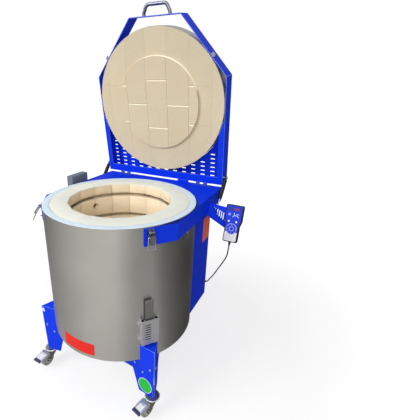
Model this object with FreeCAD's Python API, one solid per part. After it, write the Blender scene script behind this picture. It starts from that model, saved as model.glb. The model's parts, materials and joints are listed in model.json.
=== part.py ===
import FreeCAD, Part
import math
import os

# Electric top-loading kiln. Millimetres, X to the right, Y to the back, Z up from the ground.
# Every node is exported from the centre of the chamber floor, which is the frame's origin.

Vector = FreeCAD.Vector
X_AXIS = Vector(1, 0, 0)
Y_AXIS = Vector(0, 1, 0)
Z_AXIS = Vector(0, 0, 1)

# Drum
jacket_radius = 350.0
jacket_sheet = 1.4
drum_bottom = 274.0
rim_height = 906.0
base_board = 60.0
groove_pitch = 114.0
wall_rows = ((0, 1), (1, 2), (3, 2))  # first pitch and number of pitches that each row of bricks stands
bricks_per_course = 16
chamber_apothem = 235.0
brick_thickness = 76.0
floor_brick_thickness = 64.0
joint_gap = 0.6
wall_bottom = rim_height - 5 * groove_pitch
chamber_floor = wall_bottom + floor_brick_thickness

# Elements, thermocouple and holes through the wall
groove_height = 20.0
groove_depth = 16.0
element_coil_radius = 5.0
element_ring_radius = chamber_apothem + 8.6
tail_radius = 2.5
tail_hole_radius = 4.5
tail_end = 396.0
tail_angles = (176.0, 184.0)
spy_angle = -112.5
spy_height = 797.0
spy_radius = 13.0
thermocouple_angle = 164.0
thermocouple_height = 678.0
inlet_angle = 51.5
inlet_height = 430.0
inlet_radius = 15.0

# Blue collar: skirt, arms and deck
collar_half = 351.0
collar_back = 432.0
collar_top = 900.0
collar_bottom = 826.0
collar_sheet = 3.0
arm_corner_y = -119.0
arm_end = (264.0, -237.0)
deck_front = 66.0

# Electrics box
box_half = 300.0
box_front = 184.0
box_back = 423.0
box_bottom = 230.0
box_sheet = 2.0
mains_bore_radius = 6.5
mains_x = -250.0

# Legs and castors
leg_angle = 51.7
leg_apex_radius = 416.0
leg_half_angle = 7.0
leg_top = 354.0
leg_bottom = 88.0
leg_sheet = 3.0
gusset_bottom = 205.0
wheel_radius = 36.0
wheel_half_width = 12.5
castor_trail = 38.0
castor_headings = {"front_right": 16.0, "front_left": 3.0, "rear_right": 24.0, "rear_left": 9.0}
pedal_slope = 10.0
front_castor_radius = 392.0
rear_castor = (178.0, 392.0)

# Lid, in its closed position
lid_face = rim_height + 0.5
lid_thickness = 80.0
lid_brick_radius = 347.6
lid_brick_height = 76.0
plug_radius = 224.0
plug_depth = 11.5
frame_half = 353.3
frame_sheet = 3.0
frame_back = 396.0
frame_corner_y = -129.0
frame_front = -390.0
frame_front_half = 133.0
front_flange_height = 66.0
lip_width = 25.0
rear_lip_front = 355.0
hinge_y = 410.6
hinge_z = 897.1
lid_open_angle = 82.0
slot_pitch_x = 55.5
slot_pitch_y = 23.5
slot_length = 24.0
slot_width = 6.0

# Hinges
hinge_from = 188.0
hinge_to = 292.0
knuckle_radius = 6.5
hinge_pin_radius = 3.0
pin_tail = 52.0

# Gas struts, between a pin on the open lid and a pin under the skirt
strut_x = 366.0
strut_low = (300.0, 801.0)
strut_high = (431.0, 952.0)
strut_pin_radius = 4.0
strut_tube_radius = 10.5
strut_bore_radius = 9.3
strut_rod_radius = 4.0

# Toggle latches on the arms
latch_along_arm = 120.0
latch_pivot_out = 14.0
latch_pivot_height = 886.0
bail_pivot_height = 868.0
bail_reach = 51.5
lever_rest = {"left": 33.0, "right": 6.0}

# Hand controller
controller_x = 483.0
controller_y = 160.0
controller_z = 729.0
controller_tilt = 17.0
controller_half_width = 40.0
controller_height = 172.0
controller_depth = 28.0
cord_radius = 3.0
cord_route = [
    (483.0, 173.2, 731.2),
    (483.0, 160.4, 689.2),
    (475.0, 182.0, 646.0),
    (457.0, 210.0, 603.0),
    (438.0, 231.0, 562.0),
    (418.0, 252.0, 522.0),
    (400.0, 276.0, 483.0),
    (381.0, 301.0, 445.0),
    (362.0, 327.0, 409.0),
    (345.0, 351.0, 379.0),
    (331.0, 378.0, 349.0),
    (318.0, 396.0, 330.0),
    (296.0, 396.0, 330.0),
]


def block(x0, x1, y0, y1, z0, z1):
    return Part.makeBox(x1 - x0, y1 - y0, z1 - z0, Vector(x0, y0, z0))


def rod(start, direction, radius, length):
    return Part.makeCylinder(radius, length, Vector(*start), Vector(*direction))


def disc(radius, z0, z1, x=0.0, y=0.0):
    return Part.makeCylinder(radius, z1 - z0, Vector(x, y, z0), Z_AXIS)


def ring(inner, outer, z0, z1):
    return disc(outer, z0, z1).cut(disc(inner, z0 - 1.0, z1 + 1.0))


def slab(points, z0, z1):
    corners = [Vector(x, y, z0) for x, y in points]
    face = Part.Face(Part.makePolygon(corners + corners[:1]))
    return face.extrude(Vector(0, 0, z1 - z0))


def union(shapes):
    return shapes[0].multiFuse(shapes[1:]).removeSplitter()


def group(shapes):
    solids = []
    for shape in shapes:
        solids.extend(shape.Solids)
    return Part.makeCompound(solids)


def outward(angle):
    turn = math.radians(angle)
    return Vector(math.sin(turn), -math.cos(turn), 0)


def turned(shape, angle, x=0.0, y=0.0):
    """A shape built facing the front (-Y), turned to face the given angle and moved."""
    copy = shape.copy()
    copy.rotate(Vector(0, 0, 0), Z_AXIS, angle)
    copy.translate(Vector(x, y, 0))
    return copy


def mirrored(shape):
    return shape.mirror(Vector(0, 0, 0), X_AXIS)


def both_sides(shape):
    return [shape, mirrored(shape)]


def radial_rod(angle, start, end, height, radius):
    direction = outward(angle)
    return Part.makeCylinder(radius, end - start, direction * start + Vector(0, 0, height), direction)


def slot_cutter(x, y, length, width, z0, z1):
    """A slot with round ends, its length along X."""
    reach = length / 2 - width / 2
    middle = block(x - reach, x + reach, y - width / 2, y + width / 2, z0, z1)
    ends = [disc(width / 2, z0, z1, x + side * reach, y) for side in (-1, 1)]
    return union([middle] + ends)


def opened(shape):
    """A lid piece moved from its closed place to the open one."""
    copy = shape.copy()
    copy.rotate(Vector(0, hinge_y, hinge_z), X_AXIS, -lid_open_angle)
    return copy


def tube_along(points, radius, name):
    """A tube of straight runs joined by tangent arcs; prints the least bend radius."""
    corners = [Vector(*point) for point in points]
    edges = []
    start = corners[0]
    least = None
    for before, corner, after in zip(corners, corners[1:], corners[2:]):
        into = (corner - before).normalize()
        away = (after - corner).normalize()
        half_turn = into.getAngle(away) / 2
        shorter = min(before.distanceToPoint(corner), corner.distanceToPoint(after))
        setback = 0.45 * shorter
        bend = setback / math.tan(half_turn)
        least = bend if least is None else min(least, bend)
        first = corner - into * setback
        last = corner + away * setback
        centre_way = (away - into).normalize()
        centre = corner + centre_way * (bend / math.cos(half_turn))
        middle = centre - centre_way * bend
        edges.append(Part.makeLine(start, first))
        edges.append(Part.Arc(first, middle, last).toShape())
        start = last
    edges.append(Part.makeLine(start, corners[-1]))
    wire = Part.Wire(edges)
    way = corners[1] - corners[0]
    profile = Part.Wire([Part.makeCircle(radius, corners[0], way)])
    print(name, "length", round(wire.Length, 1), "least bend", round(least, 1))
    return wire.makePipeShell([profile], True, False)


# Drum

def wall_holes():
    cutters = [
        radial_rod(spy_angle, 200.0, 360.0, spy_height, spy_radius),
        radial_rod(inlet_angle, 200.0, 360.0, inlet_height, inlet_radius),
        radial_rod(thermocouple_angle, 200.0, 360.0, thermocouple_height, 4.6),
    ]
    for height in groove_heights():
        for angle in tail_angles:
            cutters.append(radial_rod(angle, 230.0, 360.0, height, tail_hole_radius))
    return Part.makeCompound(cutters)


def groove_heights():
    return [wall_bottom + (step + 0.5) * groove_pitch for step in range(1, 5)]


def make_jacket():
    shell = ring(jacket_radius - jacket_sheet, jacket_radius, drum_bottom, rim_height - 0.5)
    return shell.cut(wall_holes())


def make_base_pan():
    inside = jacket_radius - jacket_sheet - 0.2
    floor = disc(inside, drum_bottom, drum_bottom + 2.0)
    wall = ring(inside - jacket_sheet, inside, drum_bottom, drum_bottom + 22.0)
    return union([floor, wall])


def make_fibre_insulation():
    outer = jacket_radius - jacket_sheet - 0.4
    board = disc(outer - 2.0, drum_bottom + 2.2, wall_bottom - 0.3)
    inner = (chamber_apothem + brick_thickness) / math.cos(math.pi / bricks_per_course) + 0.6
    blanket = ring(inner, outer, wall_bottom, rim_height)
    return group([board, blanket.cut(wall_holes())])


def wall_brick(angle, z0, z1):
    slope = math.tan(math.pi / bricks_per_course)
    near = chamber_apothem
    far = chamber_apothem + brick_thickness
    corners = [
        (-near * slope + joint_gap / 2, -near),
        (near * slope - joint_gap / 2, -near),
        (far * slope - joint_gap / 2, -far),
        (-far * slope + joint_gap / 2, -far),
    ]
    return turned(slab(corners, z0, z1), angle)


def make_row(row):
    """A ring of upright bricks; the bottom row has no groove, and each other row has two."""
    first, steps = wall_rows[row]
    z0 = wall_bottom + first * groove_pitch
    z1 = z0 + steps * groove_pitch - joint_gap
    pitch = 360.0 / bricks_per_course
    shift = pitch / 2 if row % 2 == 0 else 0.0
    cutters = [wall_holes()]
    for height in groove_heights():
        if z0 < height < z1:
            low = height - groove_height / 2
            cutters.append(ring(200.0, chamber_apothem + groove_depth, low, low + groove_height))
    bricks = []
    for count in range(bricks_per_course):
        brick = wall_brick(count * pitch + shift, z0, z1)
        for cutter in cutters:
            brick = brick.cut(cutter)
        bricks.append(brick)
    return bricks


def make_rows(rows):
    bricks = []
    for row in rows:
        bricks.extend(make_row(row))
    return group(bricks)


def chamber_outline(apothem):
    reach = apothem / math.cos(math.pi / bricks_per_course)
    points = []
    for count in range(bricks_per_course):
        way = outward(count * 360.0 / bricks_per_course)
        points.append((way.x * reach, way.y * reach))
    return points


def brick_columns(width, length, half_span, lengthwise_centre):
    """Brick outlines in columns along Y, every second column half a brick further on."""
    cells = []
    columns = int(half_span / width) + 1
    rows = int(half_span / length) + 2
    for column in range(-columns, columns + 1):
        x = column * width
        offset = lengthwise_centre + (length / 2 if column % 2 else 0.0)
        for row in range(-rows, rows + 1):
            y = offset + row * length
            cells.append((x - width / 2, x + width / 2, y - length / 2, y + length / 2))
    return cells


def make_floor_bricks():
    shape = slab(chamber_outline(chamber_apothem - 0.8), wall_bottom, chamber_floor)
    bricks = []
    for x0, x1, y0, y1 in brick_columns(115.0, 233.0, 240.0, 0.0):
        gap = joint_gap / 2
        cell = block(x0 + gap, x1 - gap, y0 + gap, y1 - gap, wall_bottom, chamber_floor)
        brick = shape.common(cell)
        bricks.extend(solid for solid in brick.Solids if solid.Volume > 100.0)
    return group(bricks)


def make_heating_elements():
    elements = []
    gap = tail_angles[1] - tail_angles[0]
    for height in groove_heights():
        centre = Vector(0, 0, height)
        turn = Part.makeTorus(element_ring_radius, element_coil_radius, centre, Z_AXIS, 0, 360, 360 - gap)
        turn.rotate(centre, Z_AXIS, 90.0 + gap / 2)
        pieces = [turn]
        for angle in tail_angles:
            pieces.append(radial_rod(angle, element_ring_radius, tail_end, height, tail_radius))
        elements.append(union(pieces))
    return group(elements)


def make_element_bushings():
    bushings = []
    for height in groove_heights():
        for angle in tail_angles:
            stem = radial_rod(angle, 330.0, 353.0, height, tail_hole_radius - 0.2)
            head = radial_rod(angle, 350.8, 357.0, height, 8.0)
            bore = radial_rod(angle, 320.0, 370.0, height, tail_radius + 0.2)
            bushings.append(union([stem, head]).cut(bore))
    return group(bushings)


def make_thermocouple():
    sheath = radial_rod(thermocouple_angle, 205.0, 352.0, thermocouple_height, 4.0)
    head = radial_rod(thermocouple_angle, 350.8, 376.0, thermocouple_height, 13.0)
    tip = Part.makeSphere(4.0, outward(thermocouple_angle) * 205.0 + Vector(0, 0, thermocouple_height))
    return union([tip, sheath, head])


def make_spy_bung():
    plug = radial_rod(spy_angle, 262.0, 354.0, spy_height, spy_radius - 0.8)
    head = radial_rod(spy_angle, 351.2, 372.0, spy_height, 20.0)
    return union([plug, head])


# Collar

def collar_outline(inset):
    """Right half outline of the collar, from the arm's end round to the rear centre line."""
    side = collar_half - inset
    back = collar_back - inset
    run = Vector(arm_end[0] - collar_half, arm_end[1] - arm_corner_y, 0)
    length = run.Length
    bend = math.acos(abs(run.y) / length)
    corner_y = arm_corner_y + inset * math.tan(bend / 2)
    normal = Vector(-run.y, run.x, 0).normalize()
    end_x = arm_end[0] - normal.x * inset
    end_y = arm_end[1] - normal.y * inset
    return [(end_x, end_y), (side, corner_y), (side, back), (0.0, back)]


def band_outline(inset):
    right = collar_outline(inset)
    left = [(-x, y) for x, y in reversed(right[:-1])]
    return right[:-1] + left


def make_collar():
    outer = band_outline(0.0)
    inner = band_outline(collar_sheet)
    band = slab(outer + list(reversed(inner)), collar_bottom, collar_top)
    half = collar_half - 1.0
    back = collar_back - 1.0
    deck = slab([(-half, deck_front), (half, deck_front), (half, back), (-half, back)],
                collar_top - collar_sheet, collar_top)
    deck = deck.cut(disc(356.0, 800.0, 1000.0))
    rest = block(96.0, 160.0, 424.0, collar_back, collar_top - 1.0, 909.0)
    collar = union([band, deck, rest])
    cutters = [disc(jacket_radius + 0.4, 800.0, 1000.0)]
    for side in (-1, 1):
        middle = side * (hinge_from + hinge_to) / 2
        reach = (hinge_to - hinge_from) / 2 + 2.0
        cutters.append(block(middle - reach, middle + reach, 401.0, 424.0, 890.0, 905.0))
    cutters.append(block(hinge_to, hinge_to + pin_tail + 1.0, hinge_y - 4.0, hinge_y + 4.0, 890.0, 905.0))
    for cutter in cutters:
        collar = collar.cut(cutter)
    return collar


# Electrics box

def make_electrics_box():
    """The box's four sheets: two sides, the floor and a low strip in front of the drum's base."""
    inner_half = box_half - box_sheet
    floor_top = box_bottom + box_sheet
    right = block(inner_half, box_half, box_front, box_back, box_bottom, 893.6)
    left = mirrored(right)
    entry = rod((box_half - 10.0, 396.0, 330.0), (1, 0, 0), 5.0, 20.0)
    floor = block(-inner_half + 0.1, inner_half - 0.1, box_front, box_back, box_bottom, floor_top)
    mains = disc(9.0, box_bottom - 5.0, box_bottom + 5.0, mains_x, 360.0)
    strip = block(-inner_half + 0.1, inner_half - 0.1, box_front, box_front + box_sheet,
                  floor_top + 0.1, drum_bottom - 0.6)
    return group([right.cut(entry), left, floor.cut(mains), strip])


def make_rear_cover():
    plate = block(-box_half, box_half, box_back + 0.4, box_back + 2.4, box_bottom, 825.5)
    vents = []
    for column in range(-3, 4):
        for row in range(8):
            for height in (300.0, 620.0):
                x = column * 60.0
                z = height + row * 18.0
                vents.append(block(x - 20.0, x + 20.0, box_back - 1.0, box_back + 5.0, z, z + 6.0))
    return plate.cut(Part.makeCompound(vents))


def make_terminal_block():
    body = block(-46.0, 46.0, 362.0, 374.0, groove_heights()[0] - 30.0, groove_heights()[-1] + 24.0)
    screws = []
    for height in groove_heights():
        for angle in tail_angles:
            body = body.cut(radial_rod(angle, 340.0, 400.0, height, tail_radius + 0.5))
            side = 1 if outward(angle).x > 0 else -1
            screws.append(rod((side * 38.0, 373.0, height), (0, 1, 0), 4.0, 8.0))
    return union([body] + screws)


def make_contactor():
    body = block(-140.0, -70.0, 356.0, 422.6, 312.0, 392.0)
    foot = block(-150.0, -60.0, 416.0, 422.6, 302.0, 402.0)
    return union([body, foot])


def make_internal_wiring():
    """Two wires from the terminal block down to the contactor, one passing behind the other."""
    low = groove_heights()[0]
    near = [(-38.0, 382.5, low), (-38.0, 394.0, low), (-44.0, 397.0, low - 40.0),
            (-96.0, 396.0, 422.0), (-96.0, 390.0, 393.0)]
    far = [(38.0, 382.5, low), (38.0, 406.0, low), (20.0, 412.0, low - 30.0),
           (-80.0, 412.0, 436.0), (-116.0, 402.0, 418.0), (-116.0, 390.0, 393.0)]
    return group([tube_along(route, 2.0, "internal wire") for route in (near, far)])


def make_cable_glands():
    side = rod((box_half + 0.2, 396.0, 330.0), (1, 0, 0), 9.0, 8.0)
    side = union([side, rod((box_half - 4.0, 396.0, 330.0), (1, 0, 0), 4.8, 6.0)])
    side = side.cut(rod((box_half - 10.0, 396.0, 330.0), (1, 0, 0), cord_radius + 0.2, 40.0))
    mains = union([
        disc(8.8, box_bottom - 4.0, box_bottom + 6.0, mains_x, 360.0),
        disc(14.0, box_bottom - 18.0, box_bottom - 0.2, mains_x, 360.0),
    ]).cut(disc(mains_bore_radius, box_bottom - 30.0, box_bottom + 20.0, mains_x, 360.0))
    return group([side, mains])


# Legs and castors

def leg_plate(thickness):
    """One wing of a leg in its own plane: x runs inward from the apex, y is up."""
    reach = leg_apex_radius - jacket_radius * math.cos(math.radians(leg_half_angle))
    spread = jacket_radius * math.sin(math.radians(leg_half_angle))
    width = math.hypot(reach, spread) - 1.2
    outline = [
        (0.0, leg_top), (width, leg_top), (width + 1.0, drum_bottom - 0.8),
        (192.0, drum_bottom - 0.8), (192.0, gusset_bottom), (121.0, gusset_bottom),
        (width + 8.0, leg_bottom), (9.0, leg_bottom),
    ]
    corners = [Vector(x, 0, z) for x, z in outline]
    face = Part.Face(Part.makePolygon(corners + corners[:1]))
    return face.extrude(Vector(0, thickness, 0)), math.degrees(math.atan2(spread, reach))


def make_leg():
    """A front leg, built facing the front with its apex on the Y axis."""
    plate, half_spread = leg_plate(leg_sheet)
    right = plate.copy()
    right.rotate(Vector(0, 0, 0), Z_AXIS, 90.0 - half_spread)
    right.translate(Vector(0, -leg_apex_radius, 0))
    left = right.mirror(Vector(0, 0, 0), X_AXIS)
    spread = math.tan(math.radians(half_spread))
    far = leg_apex_radius - 354.0
    floor = leg_apex_radius - 348.0
    cap = slab([(0, -leg_apex_radius + 1.0), (far * spread, -354.0), (-far * spread, -354.0)],
               leg_top - leg_sheet, leg_top)
    tip = 12.0
    foot = slab([(tip * spread, -leg_apex_radius + tip), (floor * spread, -348.0),
                 (-floor * spread, -348.0), (-tip * spread, -leg_apex_radius + tip)],
                leg_bottom, leg_bottom + 4.0)
    shelf_far = leg_apex_radius - 262.0
    shelf_near = leg_apex_radius - 342.0
    shelf = slab([(shelf_near * spread, -342.0), (shelf_far * spread, -262.0),
                  (-shelf_far * spread, -262.0), (-shelf_near * spread, -342.0)],
                 drum_bottom - 4.0, drum_bottom - 0.8)
    leg = union([right, left, cap, foot, shelf])
    keep_out = disc(jacket_radius + 0.5, drum_bottom - 0.8, 400.0)
    return leg.cut(keep_out)


def castor_hole(x, y):
    return disc(5.2, leg_bottom - 2.0, leg_bottom + 8.0, x, y)


def front_castor():
    way = outward(leg_angle)
    return way.x * front_castor_radius, way.y * front_castor_radius


def make_front_leg():
    return turned(make_leg(), leg_angle).cut(castor_hole(*front_castor()))


def rear_leg():
    x, y = rear_castor
    top = block(x - 34.0, x + 34.0, y - 34.0, y + 28.0, box_bottom - 4.0, box_bottom - 0.4)
    foot = block(x - 28.0, x + 28.0, y - 30.0, y + 28.0, leg_bottom, leg_bottom + 4.0)
    back = block(x - 30.0, x + 30.0, y + 26.0, y + 29.0, leg_bottom, box_bottom - 0.4)
    sides = []
    for side in (-1, 1):
        profile = [(y + 29.0, leg_bottom), (y + 29.0, box_bottom - 0.4),
                   (y - 34.0, box_bottom - 0.4), (y - 22.0, leg_bottom)]
        corners = [Vector(x + side * 28.5, *point) for point in profile]
        face = Part.Face(Part.makePolygon(corners + corners[:1]))
        sides.append(face.extrude(Vector(side * 3.0, 0, 0)))
    return union([top, foot, back] + sides).cut(castor_hole(x, y))


def screw(point, direction, head_radius, head_height, shank_radius, shank_length):
    way = Vector(*direction).normalize()
    at = Vector(*point)
    head = Part.makeCylinder(head_radius, head_height, at, way)
    shank = Part.makeCylinder(shank_radius, shank_length + 0.5, at + way * 0.5, way * -1)
    return union([head, shank])


def leg_screw_places():
    """Distance along the leg's wing from the apex, and height, of its three screws."""
    return [(24.0, 246.0), (64.0, 212.0), (107.0, 244.0)]


def make_leg_screws():
    half_spread = leg_plate(leg_sheet)[1]
    screws = []
    for along, height in leg_screw_places():
        local = screw((along, -0.05, height), (0, -1, 0), 5.0, 3.0, 3.0, 9.0)
        local.rotate(Vector(0, 0, 0), Z_AXIS, 90.0 - half_spread)
        local.translate(Vector(0, -leg_apex_radius, 0))
        for shape in (local, local.mirror(Vector(0, 0, 0), X_AXIS)):
            placed = turned(shape, leg_angle)
            screws.extend(both_sides(placed))
    return screws


def cheek(side, x, thickness, outline):
    """A flat plate standing across X, from its outline in Y and Z."""
    corners = [Vector(side * x, y, z) for y, z in outline]
    face = Part.Face(Part.makePolygon(corners + corners[:1]))
    return face.extrude(Vector(side * thickness, 0, 0))


def make_pedal(axle_y, crown_low):
    """The brake pedal: a wide sloping channel over the wheel, with a rounded tip."""
    rear, front, high = -37.0, -101.0, crown_low + 10.3
    plate = block(-22.5, 22.5, front, rear, high - 2.5, high)
    plate.rotate(Vector(0, rear, high), X_AXIS, pedal_slope)
    drop = math.tan(math.radians(pedal_slope))
    tip_z = high - (rear - front) * drop - 3.0
    tip = rod((-22.5, front, tip_z), (1, 0, 0), 5.0, 45.0)
    outline = [(rear - 1.0, high - 1.4), (rear - 1.0, crown_low - 10.0), (-60.0, crown_low - 13.0),
               (front + 3.0, tip_z - 2.0), (front + 1.0, tip_z + 1.0)]
    flanges = [cheek(side, 20.5, 2.0, outline) for side in (-1, 1)]
    pedal = union([plate, tip] + flanges)
    return pedal.cut(rod((-30.0, axle_y - 6.0, crown_low - 4.0), (1, 0, 0), 2.55, 60.0))


def castor_parts(with_pedal):
    """A castor under the origin, its wheel trailing towards -Y."""
    axle_y = -castor_trail
    crown_low = 2 * wheel_radius + 2.5
    ring_top = leg_bottom - 0.3
    head = disc(30.0, crown_low + 3.0, ring_top - 2.0)
    washer = disc(35.0, ring_top - 5.0, ring_top)
    stem = disc(5.0, crown_low, leg_bottom + 12.0)
    nut = disc(9.0, leg_bottom + 4.3, leg_bottom + 12.0)
    crown = slab([(-18.5, 25.0), (18.5, 25.0), (18.5, -31.0), (-18.5, -31.0)], crown_low, crown_low + 3.0)
    outline = [(25.0, crown_low + 3.0), (25.0, crown_low - 4.0), (axle_y + 12.0, wheel_radius - 4.0),
               (axle_y + 5.0, wheel_radius - 11.0), (axle_y - 6.0, wheel_radius - 11.0),
               (axle_y - 13.0, wheel_radius - 3.0), (axle_y - 17.0, crown_low - 8.0), (-45.0, crown_low + 3.0)]
    sides = [cheek(side, 16.0, 2.5, outline) for side in (-1, 1)]
    axle = rod((-21.0, axle_y, wheel_radius), (1, 0, 0), 4.0, 42.0)
    nuts = [rod((side * 18.3, axle_y, wheel_radius), (side, 0, 0), 7.0, 5.0) for side in (-1, 1)]
    fork = union([head, washer, stem, nut, crown, axle] + sides + nuts)
    tyre = rod((-wheel_half_width, axle_y, wheel_radius), (1, 0, 0), wheel_radius, 2 * wheel_half_width)
    tyre = tyre.makeFillet(4.0, [edge for edge in tyre.Edges if edge.Length > 200.0])
    hub = rod((-15.0, axle_y, wheel_radius), (1, 0, 0), 11.0, 30.0)
    wheel = union([tyre, hub]).cut(rod((-30.0, axle_y, wheel_radius), (1, 0, 0), 4.05, 60.0))
    parts = {"fork": fork, "wheel": wheel}
    if with_pedal:
        starts = (17.0, -24.0)
        studs = [rod((start, axle_y - 6.0, crown_low - 4.0), (1, 0, 0), 2.5, 7.0) for start in starts]
        parts["fork"] = union([fork] + studs)
        parts["pedal"] = make_pedal(axle_y, crown_low)
    return parts


def place_castor(shape, place, x, y):
    return turned(shape, -castor_headings[place], x, y)


# Lid pieces, built closed

def lid_level(height):
    return lid_face + height


def lid_brick_cells():
    """Columns of lid bricks; the joints lie about a line a little behind the lid's centre."""
    width = 115.0
    middle = 2.0
    joints = {0: (-116.5, 116.5), 1: (0.0,), 2: (-91.0, 91.0), 3: ()}
    cells = []
    for column in range(-3, 4):
        edges = [-360.0] + [middle + y for y in joints[abs(column)]] + [360.0]
        for y0, y1 in zip(edges, edges[1:]):
            cells.append((column * width - width / 2, column * width + width / 2, y0, y1))
    return cells


def make_lid_bricks():
    body = union([
        disc(lid_brick_radius, lid_face, lid_level(lid_brick_height)),
        disc(plug_radius, lid_level(-plug_depth), lid_level(1.0)),
    ])
    bricks = []
    for x0, x1, y0, y1 in lid_brick_cells():
        gap = joint_gap / 2
        cell = block(x0 + gap, x1 - gap, y0 + gap, y1 - gap, lid_level(-20.0), lid_level(90.0))
        bricks.extend(solid for solid in body.common(cell).Solids if solid.Volume > 100.0)
    return group(bricks)


def make_lid_rim():
    outer = lid_brick_radius + 1.6
    band = ring(outer - 1.2, outer, lid_level(6.0), lid_level(lid_thickness))
    hem = ring(outer - 12.0, outer, lid_level(lid_thickness - 1.2), lid_level(lid_thickness))
    return union([band, hem])


def slot_columns(half_width, y_low, y_high, keep):
    slots = []
    columns = int(half_width / slot_pitch_x)
    rows = int((y_high - y_low) / slot_pitch_y) + 1
    for column in range(-columns, columns + 1):
        for row in range(rows):
            x = column * slot_pitch_x
            y = y_high - row * slot_pitch_y
            if keep(x, y):
                slots.append((x, y))
    return slots


def make_lid_cover():
    radius = lid_brick_radius - 0.4
    z0 = lid_level(lid_brick_height + 0.3)
    z1 = lid_level(lid_brick_height + 2.3)
    plate = disc(radius, z0, z1)
    reach = radius - 26.0
    places = slot_columns(radius, -330.0, 330.0, lambda x, y: math.hypot(abs(x) + 12.0, y) < reach)
    cutters = [slot_cutter(x, y, slot_length, slot_width, z0 - 1.0, z1 + 1.0) for x, y in places]
    return plate.cut(Part.makeCompound(cutters))


def make_lid_panel():
    inside = frame_half - frame_sheet - 0.1
    z0 = lid_level(62.0)
    z1 = lid_level(64.0)
    back = frame_back - frame_sheet - 0.1
    plate = block(-inside, inside, 70.0, back, z0, z1)
    plate = plate.cut(disc(lid_brick_radius + 3.0, z0 - 5.0, z1 + 5.0))
    clear = lid_brick_radius + 8.0
    places = slot_columns(inside, 160.0, back - 17.5, lambda x, y: math.hypot(abs(x) - 12.0, y - 3.0) > clear)
    cutters = [slot_cutter(x, y, slot_length, slot_width, z0 - 1.0, z1 + 1.0) for x, y in places]
    return plate.cut(Part.makeCompound(cutters))


def frame_outline(inset):
    """Right half outline of the lid frame, from the front centre line round to the rear one."""
    side = frame_half - inset
    front = frame_front + inset
    back = frame_back - inset
    run = Vector(frame_half - frame_front_half, frame_corner_y - frame_front, 0)
    slope = math.atan2(run.y, run.x)
    front_x = frame_front_half - inset * math.tan(slope / 2)
    side_bend = math.pi / 2 - slope
    side_y = frame_corner_y + inset * math.tan(side_bend / 2)
    return [(0.0, front), (front_x, front), (side, side_y), (side, back), (0.0, back)]


def full_outline(half):
    return half[1:-1] + [(-x, y) for x, y in reversed(half[1:-1])]


def make_lid_frame():
    outer = slab(full_outline(frame_outline(0.0)), lid_face, lid_level(lid_thickness))
    inner = slab(full_outline(frame_outline(frame_sheet)), lid_level(-5.0), lid_level(lid_thickness + 5.0))
    wall = outer.cut(inner)
    low_front = block(-frame_front_half, frame_front_half, frame_front - 5.0, frame_front + 12.0,
                      lid_level(front_flange_height), lid_level(lid_thickness + 5.0))
    wall = wall.cut(low_front)
    side = frame_half - 1.0
    back = frame_back - 1.0
    lip = slab([(-side, 70.0), (side, 70.0), (side, back), (-side, back)], lid_face, lid_level(frame_sheet))
    window_half = frame_half - frame_sheet - lip_width
    lip = lip.cut(block(-window_half, window_half, 60.0, rear_lip_front, lid_level(-5.0), lid_level(10.0)))
    lip = lip.cut(disc(lid_brick_radius + 4.0, lid_level(-5.0), lid_level(10.0)))
    frame = union([wall, lip])
    run = Vector(frame_half - frame_front_half, frame_corner_y - frame_front, 0)
    middle = Vector(frame_front_half, frame_front, 0) + run * 0.62
    peep = block(-9.0, 9.0, -8.0, 8.0, lid_level(34.0), lid_level(52.0))
    peep.rotate(Vector(0, 0, 0), Z_AXIS, math.degrees(math.atan2(run.y, run.x)))
    peep.translate(middle)
    return frame.cut(peep)


def make_lid_handle():
    level = lid_level(33.0)
    face = frame_front - 0.1
    bar = face - 46.0
    foot = face - 1.5
    neck = face - 12.0
    route = [(-68.0, foot, level), (-68.0, neck, level), (-51.0, bar, level),
             (51.0, bar, level), (68.0, neck, level), (68.0, foot, level)]
    bar = tube_along(route, 8.0, "lid handle")
    feet = [rod((side * 68.0, face, level), (0, -1, 0), 11.5, 3.0) for side in (-1, 1)]
    return union([bar] + feet)


def arm_direction():
    return Vector(arm_end[0] - collar_half, arm_end[1] - arm_corner_y, 0).normalize()


def latch_place():
    """Where the right latch stands on the arm's face, and the angle that it faces."""
    along = arm_direction()
    point = Vector(collar_half, arm_corner_y, 0) + along * latch_along_arm
    angle = math.degrees(math.atan2(-along.y, -along.x))
    return point, angle


def at_latch(shape, side):
    point, angle = latch_place()
    placed = turned(shape, angle, point.x, point.y)
    return placed if side == "right" else mirrored(placed)


def make_latch_base():
    plate = block(-13.0, 13.0, -3.0, -0.3, 828.0, 898.0)
    ears = [block(side * 7.0 - 1.0, side * 7.0 + 1.0, -17.5, -2.0, 879.0, 892.0) for side in (-1, 1)]
    pin = rod((-12.0, -latch_pivot_out, latch_pivot_height), (1, 0, 0), 2.5, 24.0)
    stop = block(-4.0, 4.0, -12.0, -2.0, 838.0, 842.0)
    return union([plate, pin, stop] + ears)


def make_latch_lever(side):
    out = latch_pivot_out
    walls = [block(x * 10.0 - 1.0, x * 10.0 + 1.0, -out - 5.0, -out + 7.0, 848.0, latch_pivot_height + 4.0)
             for x in (-1, 1)]
    web = block(-11.0, 11.0, -out - 5.0, -out - 3.0, 848.0, 874.0)
    tab = block(-7.5, 7.5, -out - 5.0, -out - 3.0, 840.0, 849.0)
    lever = union(walls + [web, tab])
    lever = lever.cut(rod((-20.0, -out, latch_pivot_height), (1, 0, 0), 2.56, 40.0))
    lever = lever.cut(rod((-20.0, -out + 2.0, bail_pivot_height), (1, 0, 0), 2.1, 40.0))
    lever.rotate(Vector(0, -out, latch_pivot_height), X_AXIS, -lever_rest[side])
    return lever


def bail_pivot(side):
    """The bail's pivot, carried round with the lever's rest angle."""
    turn = math.radians(-lever_rest[side])
    y = 2.0
    z = bail_pivot_height - latch_pivot_height
    return (-latch_pivot_out + y * math.cos(turn) - z * math.sin(turn),
            latch_pivot_height + y * math.sin(turn) + z * math.cos(turn))


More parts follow.
